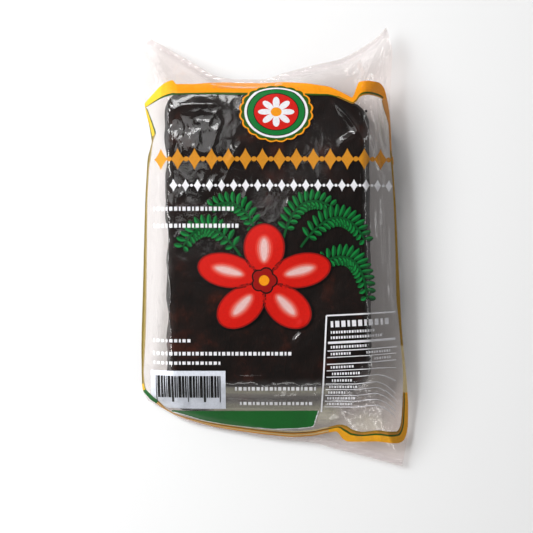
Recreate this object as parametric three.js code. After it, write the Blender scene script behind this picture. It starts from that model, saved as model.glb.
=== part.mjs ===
// A packet of pressed, seedless tamarind pulp: one flat block of dark pulp, heat-sealed in a bag of
// clear film.  Units are millimetres, +Z is up.  The packet lies on its back with its printed front
// up and its top end towards +Y.  The origin is on the table, under the middle of the packet's box.
//
// The bag is a flat tube of film closed by a seal at each end, so it has a front wall and a back wall
// that meet along two side folds and two seals.  The top seal is drawn in to the middle of the block's
// end, at half its height, and the film at the bottom left is tucked behind the block.  The other
// corners stick out as flat ears.

import * as THREE from "three";
import { mergeVertices } from "three/addons/utils/BufferGeometryUtils.js";

const { clamp, lerp } = THREE.MathUtils;

// ---- Driving dimensions ----------------------------------------------------------------------

const FILM = 0.4; // thickness of a wall: the film with the air and wrinkles that it carries
const GAP = 0.3; // clear space between two pieces that touch

const BLOCK = {
  width: 96.5,
  length: 144.5,
  thickness: 22.5,
  x: -3.2, // its middle, which is not the packet's because the ears differ
  y: 3.75,
  edgeRadius: 5, // round of the long edges
  crown: 0.8, // how much thicker the middle is than the rim
  lump: 0.3, // height of the unevenness of the pulp
};
// Rounds of the block's four corners, seen from above.
const CORNER_RADIUS = { topLeft: 15, topRight: 7, bottomLeft: 8, bottomRight: 14 };

// The rim of the bag, where the two walls meet: [x, y, z].  Each side runs between two ear tips.
const TOP_LEFT = [-59.5, 99.2, 5.0];
const TOP_RIGHT = [52.9, 104.1, 7.8];
const BOTTOM_LEFT = [-60.4, -72.6, 3.0];
const BOTTOM_RIGHT = [60.7, -104.1, 2.8];

const LEFT_FOLD = [
  BOTTOM_LEFT,
  [-62.88, -66.0, 5.0],
  [-63.08, -56.0, 7.2],
  [-62.98, -45.0, 9.0],
  [-62.2, -22.5, 10.2],
  [-61.6, 0.0, 10.5],
  [-60.1, 40.0, 10.0],
  [-58.6, 52.0, 9.0],
  [-61.4, 67.4, 8.2],
  [-62.5, 91.0, 5.8],
  TOP_LEFT,
];
const RIGHT_FOLD = [
  BOTTOM_RIGHT,
  [63.1, -84.0, 3.5],
  [62.9, -68.0, 6.0],
  [61.9, -53.0, 7.5],
  [59.3, -22.5, 9.5],
  [57.2, 20.0, 10.5],
  [55.1, 53.0, 10.2],
  [54.5, 70.0, 9.6],
  [55.5, 92.0, 8.4],
  TOP_RIGHT,
];
const TOP_RIM = [
  TOP_LEFT,
  [-43.0, 89.8, 6.6],
  [-26.3, 80.6, 9.6],
  [-7.4, 79.6, 10.4],
  [19.1, 85.8, 10.0],
  [34.0, 90.6, 9.2],
  [48.9, 99.6, 8.2],
  TOP_RIGHT,
];
const BOTTOM_RIM = [
  BOTTOM_LEFT,
  [-42.4, -82.5, 2.0],
  [-29.2, -86.0, 2.2],
  [-2.7, -90.4, 2.8],
  [19.1, -93.0, 3.2],
  [40.8, -98.6, 3.2],
  BOTTOM_RIGHT,
];

// How finely a wall is divided: strips from the block's edge out to the rim, and over the block.
const FLAP_STRIPS = 7;
const ACROSS_STRIPS = 14;
const ALONG_STRIPS = 20;
const ROUND_SHARE = 3 / 7; // the share of the flap strips that go round the block's edge

// ---- Derived dimensions ------------------------------------------------------------------------

const blockBottom = FILM + GAP;
const blockTop = blockBottom + BLOCK.thickness;
const wallHeight = FILM / 2 + GAP; // a wall's middle above what it lies on
const roundRadius = BLOCK.edgeRadius + wallHeight; // of a wall's middle, round the block's edge
const rimSpacing = (FILM + GAP) / 2; // a wall's middle from the middle of the rim

// The flat of the block's face, inside its round edges.
const flat = {
  left: BLOCK.x - BLOCK.width / 2 + BLOCK.edgeRadius,
  right: BLOCK.x + BLOCK.width / 2 - BLOCK.edgeRadius,
  bottom: BLOCK.y - BLOCK.length / 2 + BLOCK.edgeRadius,
  top: BLOCK.y + BLOCK.length / 2 - BLOCK.edgeRadius,
};

// The height of the pulp's upper face over its nominal plane: lower at the rim, with broad lumps.
function unevenness(x, y) {
  const across = (2 * (x - BLOCK.x)) / BLOCK.width;
  const along = (2 * (y - BLOCK.y)) / BLOCK.length;
  const broad = Math.sin(x / 9 + 0.6) * Math.cos(y / 13 - 0.4);
  const broader = Math.sin(x / 17 - y / 11 + 2);
  const crown = Math.min(1, across ** 4 + along ** 4);
  return BLOCK.lump * (broad + 0.6 * broader - 1.6) - BLOCK.crown * crown;
}

// ---- The rim -----------------------------------------------------------------------------------

// A smooth curve through a rim's points, read by the axis that it runs along (0 for x, 1 for y).
function rimCurve(points, axis) {
  const places = points.map((point) => point[axis]);
  const values = points.flatMap((point) => [point[1 - axis], point[2]]);
  const spline = new THREE.CubicInterpolant(places, values, 2);
  const first = places[0];
  const last = places[places.length - 1];
  const at = (place) => {
    const held = clamp(place, first, last);
    const [side, z] = spline.evaluate(held);
    return axis === 0 ? new THREE.Vector3(held, side, z) : new THREE.Vector3(side, held, z);
  };
  return { at, first, last };
}

const leftFold = rimCurve(LEFT_FOLD, 1);
const rightFold = rimCurve(RIGHT_FOLD, 1);
const topRim = rimCurve(TOP_RIM, 0);
const bottomRim = rimCurve(BOTTOM_RIM, 0);

// ---- The walls of the bag ------------------------------------------------------------------------

// A place on a wall.  across and along run from 0 to 3: 0 and 3 are the rim, and 1 and 2 are the edges
// of the flat.  Off the flat, the film runs straight in plan from start, on the edge of the flat, to a
// point of the rim, and share is how far along that it is.  At a corner these rays fan out.
function rayAt(across, along) {
  const x = lerp(flat.left, flat.right, clamp(across - 1, 0, 1));
  const y = lerp(flat.bottom, flat.top, clamp(along - 1, 0, 1));
  const out = Math.max(1 - across, across - 2, 0);
  const end = Math.max(1 - along, along - 2, 0);
  const share = Math.max(out, end);
  if (share === 0) return { x, y, share };
  const fold = across < 1.5 ? leftFold : rightFold;
  const rim = along < 1.5 ? bottomRim : topRim;
  const tipY = along < 1.5 ? fold.first : fold.last;
  const tipX = across < 1.5 ? rim.first : rim.last;
  const target = out >= end ? fold.at(lerp(y, tipY, end / out)) : rim.at(lerp(x, tipX, out / end));
  return { x, y, target, share };
}

// The section of a taut wall: round the block's edge, then straight to the rim, which is reach out
// from the start of the round and drop below it.  Gives how far out and how far below a share of it is.
function tautSection(reach, drop, share) {
  const fromCentre = Math.hypot(reach, drop - roundRadius);
  const lean = Math.asin(Math.min(1, roundRadius / fromCentre));
  const turn = Math.max(0, Math.atan2(drop - roundRadius, reach) + lean);
  const angle = turn * Math.min(1, share / ROUND_SHARE);
  const straight = Math.max(0, (share - ROUND_SHARE) / (1 - ROUND_SHARE));
  const out = roundRadius * Math.sin(angle);
  const below = roundRadius * (1 - Math.cos(angle));
  return [lerp(out, reach, straight), lerp(below, drop, straight)];
}

// A point on the middle of a wall.  side is 1 for the front wall and -1 for the back wall, which turns
// up round the block's lower edge in the same way as the front wall turns down.
function wallPoint(side, across, along) {
  const { x, y, target, share } = rayAt(across, along);
  const face = side > 0 ? blockTop + unevenness(x, y) + wallHeight : FILM / 2;
  if (share === 0) return new THREE.Vector3(x, y, face);
  const reach = Math.hypot(target.x - x, target.y - y);
  const drop = side * (face - target.z) - rimSpacing;
  const [out, below] = tautSection(reach, drop, share);
  const part = out / reach;
  return new THREE.Vector3(lerp(x, target.x, part), lerp(y, target.y, part), face - side * below);
}

// The places of a wall's grid lines, from 0 to 3.
function gridLines(inner) {
  const lines = [];
  for (let i = 0; i < FLAP_STRIPS; i++) lines.push(i / FLAP_STRIPS);
  for (let i = 0; i < inner; i++) lines.push(1 + i / inner);
  for (let i = 0; i <= FLAP_STRIPS; i++) lines.push(2 + i / FLAP_STRIPS);
  return lines;
}

// The unit normal of a grid of points at one of them.
function gridNormal(grid, row, column) {
  const lastRow = grid.length - 1;
  const lastColumn = grid[0].length - 1;
  const east = grid[row][Math.min(column + 1, lastColumn)].clone();
  const north = grid[Math.min(row + 1, lastRow)][column].clone();
  east.sub(grid[row][Math.max(column - 1, 0)]);
  north.sub(grid[Math.max(row - 1, 0)][column]);
  return east.cross(north).normalize();
}

// The faces of a closed sheet with the upper grid's points first and the lower grid's after them.
function sheetFaces(rows, columns) {
  const under = rows * columns;
  const at = (row, column) => row * columns + column;
  const faces = [];
  for (let row = 0; row + 1 < rows; row++) {
    for (let column = 0; column + 1 < columns; column++) {
      let ring = [at(row, column), at(row, column + 1), at(row + 1, column + 1), at(row + 1, column)];
      // A cell is split along the diagonal that points out from the middle of the packet.
      const leftHalf = column < (columns - 1) / 2;
      const lowerHalf = row < (rows - 1) / 2;
      if (leftHalf !== lowerHalf) ring = [...ring.slice(1), ring[0]];
      const [a, b, c, d] = ring;
      faces.push(a, b, c, a, c, d);
      faces.push(under + a, under + c, under + b, under + a, under + d, under + c);
    }
  }
  const outline = [];
  for (let column = 0; column + 1 < columns; column++) outline.push(at(0, column));
  for (let row = 0; row + 1 < rows; row++) outline.push(at(row, columns - 1));
  for (let column = columns - 1; column > 0; column--) outline.push(at(rows - 1, column));
  for (let row = rows - 1; row > 0; row--) outline.push(at(row, 0));
  outline.forEach((here, i) => {
    const next = outline[(i + 1) % outline.length];
    faces.push(here, under + here, under + next, here, under + next, next);
  });
  return faces;
}

// A wall of the bag as a closed solid, FILM thick along the normals of its middle.
function wallGeometry(side) {
  const rows = gridLines(ALONG_STRIPS);
  const columns = gridLines(ACROSS_STRIPS);
  const grid = rows.map((along) => columns.map((across) => wallPoint(side, across, along)));
  const positions = [];
  for (const offset of [FILM / 2, -FILM / 2]) {
    grid.forEach((points, row) => {
      points.forEach((point, column) => {
        const moved = point.clone().addScaledVector(gridNormal(grid, row, column), offset);
        positions.push(...moved.toArray());
      });
    });
  }
  const geometry = new THREE.BufferGeometry();
  geometry.setAttribute("position", new THREE.Float32BufferAttribute(positions, 3));
  geometry.setIndex(sheetFaces(rows.length, columns.length));
  geometry.computeVertexNormals();
  return geometry;
}

// ---- The block of pulp ---------------------------------------------------------------------------

// Rounds the corners of a rectangle with the given half sides: a point on a square ring round a
// corner's centre goes to the circle that the ring holds.
function rounded(a, b, halfA, halfB, radius) {
  const overA = a - clamp(a, radius - halfA, halfA - radius);
  const overB = b - clamp(b, radius - halfB, halfB - radius);
  const square = Math.max(Math.abs(overA), Math.abs(overB));
  const shrink = square / (Math.hypot(overA, overB) || 1) - 1;
  return [a + overA * shrink, b + overB * shrink];
}

// A box with its corners rounded in plan and its edges rounded in section, and an uneven upper face.
function blockGeometry() {
  const { width, length, thickness, edgeRadius } = BLOCK;
  const box = new THREE.BoxGeometry(2, 2, 2, 18, 26, 6);
  box.deleteAttribute("normal").deleteAttribute("uv");
  const geometry = mergeVertices(box);
  const position = geometry.getAttribute("position");
  const half = new THREE.Vector3(width / 2, length / 2, thickness / 2);
  const crowd = (share) => 0.35 * share + 0.65 * Math.sin((share * Math.PI) / 2);
  for (let i = 0; i < position.count; i++) {
    let x = crowd(position.getX(i)) * half.x;
    let y = crowd(position.getY(i)) * half.y;
    let z = crowd(position.getZ(i)) * half.z;
    const radius = CORNER_RADIUS[(y < 0 ? "bottom" : "top") + (x < 0 ? "Left" : "Right")];
    // In section, a point near the outline goes round the edge, which changes its inset and its level.
    let inset = Math.min(half.x - Math.abs(x), half.y - Math.abs(y));
    if (inset < edgeRadius) {
      const [after, level] = rounded(edgeRadius - inset, z, edgeRadius, half.z, edgeRadius);
      x *= (half.x - edgeRadius + after) / (half.x - inset);
      y *= (half.y - edgeRadius + after) / (half.y - inset);
      z = level;
      inset = edgeRadius - after;
    }
    // In plan, the outline at that inset has its corners rounded.
    const cornerRadius = Math.max(0, radius - inset);
    [x, y] = rounded(x, y, half.x - inset, half.y - inset, cornerRadius);
    x += BLOCK.x;
    y += BLOCK.y;
    const lift = (z / half.z + 1) / 2; // 1 on the upper face and 0 on the lower
    position.setXYZ(i, x, y, z + blockBottom + half.z + lift * unevenness(x, y));
  }
  geometry.computeVertexNormals();
  return geometry;
}

// ---- Assembly --------------------------------------------------------------------------------------

const pulp = new THREE.MeshStandardMaterial({ color: 0x1f1511, roughness: 0.45, metalness: 0 });
const clearFilm = new THREE.MeshStandardMaterial({
  color: 0xeceae8,
  roughness: 0.12,
  metalness: 0,
  transparent: true,
  opacity: 0.2,
});

function named(name, geometry, material) {
  const mesh = new THREE.Mesh(geometry, material);
  mesh.name = name;
  return mesh;
}

const packet = new THREE.Group();
packet.add(
  named("tamarind_block", blockGeometry(), pulp),
  named("bag_front_wall", wallGeometry(1), clearFilm),
  named("bag_back_wall", wallGeometry(-1), clearFilm),
);

export default packet;
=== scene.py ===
"""Packet of tamarind pulp: a dark pressed block in a clear bag with a printed front.

The packet lies on its back.  Lengths in this file are millimetres unless a name says metres.
"""

import math

import bpy
import numpy as np
from bpy.props import FloatProperty, FloatVectorProperty, PointerProperty
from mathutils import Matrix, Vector, noise
from mathutils.bvhtree import BVHTree


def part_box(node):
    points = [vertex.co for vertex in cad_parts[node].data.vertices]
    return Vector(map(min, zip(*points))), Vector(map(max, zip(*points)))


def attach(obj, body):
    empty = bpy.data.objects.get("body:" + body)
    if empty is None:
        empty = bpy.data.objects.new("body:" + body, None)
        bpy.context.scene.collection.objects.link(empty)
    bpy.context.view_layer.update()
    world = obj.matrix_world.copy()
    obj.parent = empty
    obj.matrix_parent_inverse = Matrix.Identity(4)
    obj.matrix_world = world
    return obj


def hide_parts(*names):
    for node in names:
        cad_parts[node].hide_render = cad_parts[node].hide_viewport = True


bl_info = {
    "name": "Tamarind pulp packet",
    "version": (1, 0, 0),
    "blender": (4, 5, 0),
    "location": "View3D > Sidebar > Packet",
    "description": "Builds a clear printed packet of pressed tamarind pulp",
    "category": "Add Mesh",
}

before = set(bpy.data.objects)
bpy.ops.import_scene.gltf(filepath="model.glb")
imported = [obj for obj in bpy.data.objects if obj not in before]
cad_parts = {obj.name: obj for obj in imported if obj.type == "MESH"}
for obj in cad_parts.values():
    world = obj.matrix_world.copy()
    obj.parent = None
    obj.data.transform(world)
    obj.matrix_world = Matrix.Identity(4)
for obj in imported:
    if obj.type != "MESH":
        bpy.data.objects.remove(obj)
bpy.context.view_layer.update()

MM = 0.001  # metres in a millimetre

# The block: its box, the flat of its face inside its round edges, and how the pulp lies.
BLOCK_LOW, BLOCK_HIGH = (np.array(corner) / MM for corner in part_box("tamarind_block"))
EDGE_RADIUS = 5.0
FOOT_RADIUS = 9.0  # the lower end's upper edge is rounder than the others
FLAT_LOW = BLOCK_LOW[:2] + (EDGE_RADIUS, FOOT_RADIUS)
FLAT_HIGH = BLOCK_HIGH[:2] - EDGE_RADIUS
BLOCK_MIDDLE = (BLOCK_LOW + BLOCK_HIGH) / 2
BLOCK_HALF = (BLOCK_HIGH - BLOCK_LOW) / 2
FACE_LEVEL = 23.2  # nominal top plane of the block
FACE_HALF = np.array([*BLOCK_HALF[:2], (FACE_LEVEL - BLOCK_LOW[2]) / 2])  # half the size, up to it
LUMP_HEIGHT = 0.3  # of the face's broad lumps
LUMP_DROP = 0.48  # how far their middle lies under the nominal plane
EDGE_DROP = 0.8  # how much lower the face is at the block's edge
CORNER_RADII = {"top left": 15.0, "top right": 16.0, "foot left": 8.0, "foot right": 14.0}
LEAN = 0.011  # the block lies a little askew in the bag: sideways shift for each unit of length
TOP_RIGHT_PULL = 6.0  # how far the pulp is drawn in at its top right corner
FOOT_SPREAD = 11.0  # how far its foot spreads over the back wall
EDGE_WAVER = 0.45  # how far its left edge wavers

# Levels of the film.
FILM_LIFT = 0.5  # the film's level over the pulp's
PULP_CLEARANCE = 0.4  # the least that the pulp stays inside the film
BACK_LEVEL = 0.15  # the back wall's level over the floor
LOWEST_LEVEL = 0.05  # the lowest that a wrinkle of the back wall reaches

# The rim, where the bag's front wall and back wall meet: x, y, z.
LEFT_FOLD = [
    (-60.4, -72.6, 3.0), (-62.9, -66.5, 4.6), (-63.1, -60.0, 6.4), (-63.1, -49.0, 8.6),
    (-62.3, -22.7, 10.4), (-61.8, -0.7, 10.6), (-61.2, 20.1, 10.6), (-60.2, 39.4, 10.0),
    (-58.4, 51.6, 9.0), (-61.4, 67.4, 8.2), (-62.3, 77.0, 7.2), (-62.8, 91.1, 5.8),
    (-61.9, 94.5, 5.4), (-59.3, 99.3, 5.0),
]
RIGHT_FOLD = [
    (60.7, -104.1, 2.8), (62.4, -94.0, 3.0), (63.2, -87.0, 3.4), (63.4, -80.0, 4.2),
    (63.3, -73.0, 5.2), (62.8, -65.0, 6.3), (61.6, -53.2, 7.6), (60.2, -40.0, 8.8),
    (59.3, -22.5, 9.6), (58.2, -0.7, 10.4), (57.2, 20.1, 10.6), (56.2, 35.9, 10.4),
    (55.1, 53.4, 10.2), (54.4, 70.0, 9.6), (55.3, 85.8, 8.8), (55.6, 91.9, 8.4),
    (54.1, 99.8, 8.0), (52.6, 104.1, 7.8),
]
TOP_RIM = [
    (-59.3, 99.3, 5.0), (-50.9, 94.5, 5.8), (-39.6, 87.9, 7.2), (-26.4, 80.5, 9.6),
    (-15.9, 79.2, 10.3), (-7.2, 79.2, 10.4), (5.8, 82.7, 10.2), (19.1, 86.2, 10.0),
    (30.4, 88.8, 9.4), (39.9, 93.6, 8.8), (48.8, 99.8, 8.2), (52.6, 104.1, 7.8),
]
BOTTOM_RIM = [
    (-60.4, -72.6, 3.0), (-50.9, -77.8, 2.2), (-42.4, -82.5, 2.0), (-29.2, -85.8, 2.2),
    (-15.9, -88.2, 2.5), (-2.7, -90.6, 2.8), (10.1, -91.8, 3.0), (19.1, -92.9, 3.2),
    (27.6, -95.3, 3.3), (40.8, -98.6, 3.2), (60.7, -104.1, 2.8),
]
RIM_SPACING = 0.1  # each wall's distance from the middle of the rim
SEAL_SPACING = 0.12  # half the gap that is kept between two walls that lie together
SEAL_FULL = 0.375  # the share of a seal's width that is fully pressed
ROUND_SHARE = 0.35  # the share of a flap's grid lines that go round the block's edge
FLAT_SHARE = 0.12  # the share at the foot over which the back wall still lies flat

# A wall's grid lines: on a flap, and on the block's flat across and along.
WALL_LINES = {"flap": 58, "across": 140, "along": 210}
MIDDLE_LINE = 1.5  # the place of the middle grid line
BLOCK_CELLS = (110, 160, 24)  # faces of the block along x, y and z

# Patches of the front wall: the middle, and the reach across and along.
HOLLOW = ((-36.0, 52.0), (20.0, 20.0))  # the upper left of the face, where the film bridges the pulp
GATHER = ((46.0, -76.0), (15.0, 14.0))  # the lower right corner
EAR = ((50.0, 92.0), (6.0, 10.0))  # the upper right ear
TAUT_FOOT = ((-2.0, -75.0), (30.0, 9.0))  # the foot, between its corners

# Chance wrinkles: form, grain across and along, step of the seed, and height by place.
WRINKLES = [
    ("swell", (13.0, 13.0), 0, {"flap": 0.70, "hollow": 0.35}),
    ("ridge", (9.0, 9.0), 9, {"wall": 0.03, "flap": 0.25, "hollow": 0.12}),
    ("ridge", (5.0, 5.0), 21, {"wall": 0.02, "flap": 0.10, "hollow": 0.04, "gather": 0.25}),
    ("ridge", (2.4, 3.6), 35, {"flap": 0.06, "hollow": 0.03, "gather": 0.30, "ear": 0.30}),
]
CREST_POWER = 1.4  # of a crease's section: 1 is a knife's edge and 2 a round crest
WRINKLE_FADE = 0.125  # the share of a flap, at the rim, over which its wrinkles fade out
BACK_DENT = 0.3  # the deepest that a wrinkle goes into the back wall

# Painted reflection and shade: share of the light that the film scatters as haze, by y over the foot,
# and in patches.
FOOT_PAINTED_LIGHT = {
    -86.0: 0.1, -80.0: 0.45, -76.5: 0.45, -72.1: 0.18, -71.0: 0.12, -69.0: 0.22, -67.4: 0.38,
    -65.8: 0.34, -64.6: 0.0,
}
FOOT_PAINTED_LIGHT_SIDES = {-34.0: 0.0, -28.0: 1.0, 26.0: 1.0, 36.0: 0.0}  # how full it is, by x
PAINTED_LIGHT_PATCHES = [
    (0.40, ((44.0, -83.0), (14.0, 8.0))),  # painted shade over the gathered lower right corner
    (0.25, ((47.0, -63.0), (6.0, 6.0))),  # the pulp's corner over it
]
FLAP_PAINTED_HIGHLIGHTS = (0.30, ((51.0, 58.0), (4.5, 13.0)))  # painted highlight streaks on the upper right flap

# Sharp creases of the front wall: height, width, then the points that each one runs through.
CREASES = [
    # The upper left of the face, where the film bridges hollows in the pulp.
    (0.70, 2.8, [(-52.4, 58.0), (-48.0, 64.0), (-42.0, 66.4), (-32.0, 66.8), (-22.0, 66.2)]),
    (0.22, 1.2, [(-44.0, 62.0), (-36.0, 63.4), (-27.4, 62.4), (-25.2, 57.8), (-30.0, 50.0)]),
    (0.20, 1.2, [(-43.6, 61.6), (-41.4, 56.4), (-42.0, 50.0)]),
    (0.16, 1.0, [(-38.6, 57.6), (-34.0, 58.8), (-29.6, 57.6)]),
    (0.18, 1.2, [(-36.4, 55.0), (-36.0, 49.0), (-38.4, 44.0)]),
    (0.20, 1.0, [(-31.5, 41.0), (-29.0, 47.2), (-26.6, 53.6)]),
    (0.40, 1.1, [(-17.4, 46.4), (-19.8, 42.4), (-22.4, 38.6)]),
    (0.35, 1.0, [(-22.4, 33.2), (-25.2, 28.6)]),
    (0.40, 1.0, [(-32.6, 32.6), (-35.8, 27.8)]),
    (0.50, 1.2, [(-27.4, 32.6), (-30.6, 27.4), (-33.6, 23.8)]),
    (0.35, 1.0, [(-12.8, 26.0), (-15.0, 22.0), (-16.4, 17.6)]),
    (0.35, 0.9, [(-29.4, 22.0), (-32.2, 17.2)]),
    (0.35, 0.9, [(-42.6, 25.6), (-45.0, 21.4)]),
    (0.35, 0.9, [(-43.4, 7.6), (-46.2, 2.8)]),
    (0.30, 0.9, [(-36.4, 10.2), (-38.8, 6.4)]),
    (0.30, 0.8, [(6.6, 22.4), (4.8, 17.0)]),
    (0.30, 0.9, [(-20.6, 47.2), (-19.2, 44.0)]),
    (0.30, 0.9, [(12.6, -34.0), (11.4, -37.6)]),
    (0.50, 0.9, [(12.2, -40.0), (10.6, -42.4), (8.4, -45.2)]),
    (0.30, 1.0, [(-49.6, 58.0), (-47.4, 50.0), (-49.0, 43.0)]),
    (0.25, 1.0, [(-46.0, 52.8), (-43.2, 44.6), (-45.2, 38.4)]),
    # The left edge of the block.
    (0.45, 0.9, [(-51.4, 36.0), (-49.6, 24.0), (-50.4, 14.0)]),
    (0.50, 1.2, [(-52.6, 18.0), (-50.2, 9.0), (-49.2, 3.0)]),
    (0.40, 0.8, [(-49.2, 2.0), (-50.2, -6.0), (-49.4, -16.0), (-50.2, -24.0)]),
    (0.40, 0.8, [(-49.0, -12.0), (-48.4, -22.0), (-49.0, -31.0), (-48.2, -42.0)]),
    (0.35, 0.8, [(-50.6, -20.0), (-50.0, -32.0), (-50.6, -46.0)]),
    # The upper right corner, and the flap below it.
    (0.60, 1.4, [(28.3, 66.9), (35.1, 59.5), (38.3, 54.6), (41.8, 47.5)]),
    (0.62, 1.1, [(30.6, 47.3), (32.3, 50.0), (36.6, 52.3), (38.3, 54.6)]),
    (0.90, 1.3, [(44.1, 70.7), (46.5, 59.5), (48.4, 49.1), (53.1, 37.1)]),
    (0.75, 1.1, [(42.0, 58.6), (45.2, 50.4), (47.4, 42.0), (50.6, 30.0)]),
    (0.65, 1.0, [(46.8, 66.0), (50.6, 57.0), (52.0, 48.0)]),
    # The long flaps, slack along the block.
    (0.45, 1.2, [(-58.0, 34.0), (-57.4, 10.0), (-58.4, -20.0), (-58.8, -50.0)]),
    (0.40, 1.2, [(-54.6, 26.0), (-53.8, -4.0), (-55.2, -34.0), (-54.4, -58.0)]),
    (0.30, 1.0, [(-56.2, 44.0), (-55.8, 20.0), (-56.6, -8.0)]),
    (0.75, 1.2, [(49.6, 26.0), (50.6, 4.0), (51.6, -18.0)]),
    (0.40, 1.0, [(46.8, 30.0), (48.0, 8.0), (48.4, -12.0)]),
    (0.60, 1.0, [(52.6, 14.0), (53.2, -10.0), (54.8, -36.0)]),
    (0.35, 1.0, [(48.2, -8.0), (50.0, -26.0), (50.4, -44.0)]),
    # The foot, where the film leaves the block.
    (0.70, 2.6, [(-24.0, -69.6), (-8.0, -70.0), (8.0, -70.0), (24.0, -69.4)]),
    # The lower right corner, gathered in arcs.
    (0.55, 1.5, [(37.0, -59.0), (44.6, -58.6), (51.4, -61.0), (55.6, -67.6)]),
    (0.55, 1.4, [(36.0, -64.0), (44.0, -63.0), (50.6, -66.0), (54.6, -73.0)]),
    (0.50, 1.4, [(34.6, -68.6), (42.4, -67.6), (48.8, -71.0), (53.0, -78.0)]),
    (0.50, 1.5, [(33.0, -74.0), (40.0, -73.6), (46.0, -76.6), (49.8, -83.0)]),
    (0.40, 0.7, [(38.0, -56.6), (45.6, -56.0), (52.4, -58.4), (56.6, -64.6)]),
    (0.40, 0.7, [(40.0, -61.4), (45.0, -60.8), (51.0, -63.6), (55.2, -70.4)]),
    (0.40, 0.7, [(37.0, -66.2), (43.6, -65.4), (49.8, -68.4), (53.8, -75.6)]),
    (0.40, 0.7, [(36.0, -71.2), (41.6, -70.6), (47.6, -73.8), (51.6, -80.6)]),
    (0.40, 0.7, [(38.0, -76.6), (43.0, -77.4), (46.8, -80.6)]),
    (0.70, 2.2, [(38.0, -71.0), (47.0, -84.0), (57.0, -99.0)]),
    (0.60, 2.2, [(30.0, -74.0), (36.0, -84.0), (42.0, -96.0)]),
    # The lower left corner.
    (0.60, 1.8, [(-49.0, -66.0), (-54.0, -69.6), (-59.0, -71.6)]),
    (0.45, 1.5, [(-42.0, -72.6), (-46.4, -76.6)]),
    # The ears, from the block's corners to the tips.
    (0.50, 2.4, [(-45.0, 72.0), (-50.6, 82.0), (-56.4, 93.0)]),
    (0.40, 2.0, [(-36.0, 75.4), (-40.6, 81.0), (-46.0, 88.0)]),
    (0.40, 1.8, [(-49.0, 66.0), (-55.6, 76.0), (-59.6, 87.0)]),
    (0.35, 1.6, [(-20.0, 75.6), (-22.6, 79.0)]),
    (0.50, 1.8, [(38.6, 74.6), (43.6, 85.0), (48.4, 95.0)]),
    (0.40, 1.4, [(46.4, 73.0), (49.0, 82.0), (50.2, 92.0)]),
    (0.35, 1.2, [(47.0, 88.0), (51.2, 96.0)]),
    (0.40, 1.8, [(30.0, 76.6), (35.0, 83.4), (41.6, 92.0)]),
    (0.40, 2.4, [(14.0, 77.0), (18.4, 83.0)]),
    (0.40, 2.8, [(42.0, 70.0), (47.6, 79.6), (51.4, 90.0)]),
    (0.40, 2.4, [(50.0, -72.0), (55.6, -84.0), (58.2, -96.0)]),
]

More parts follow.
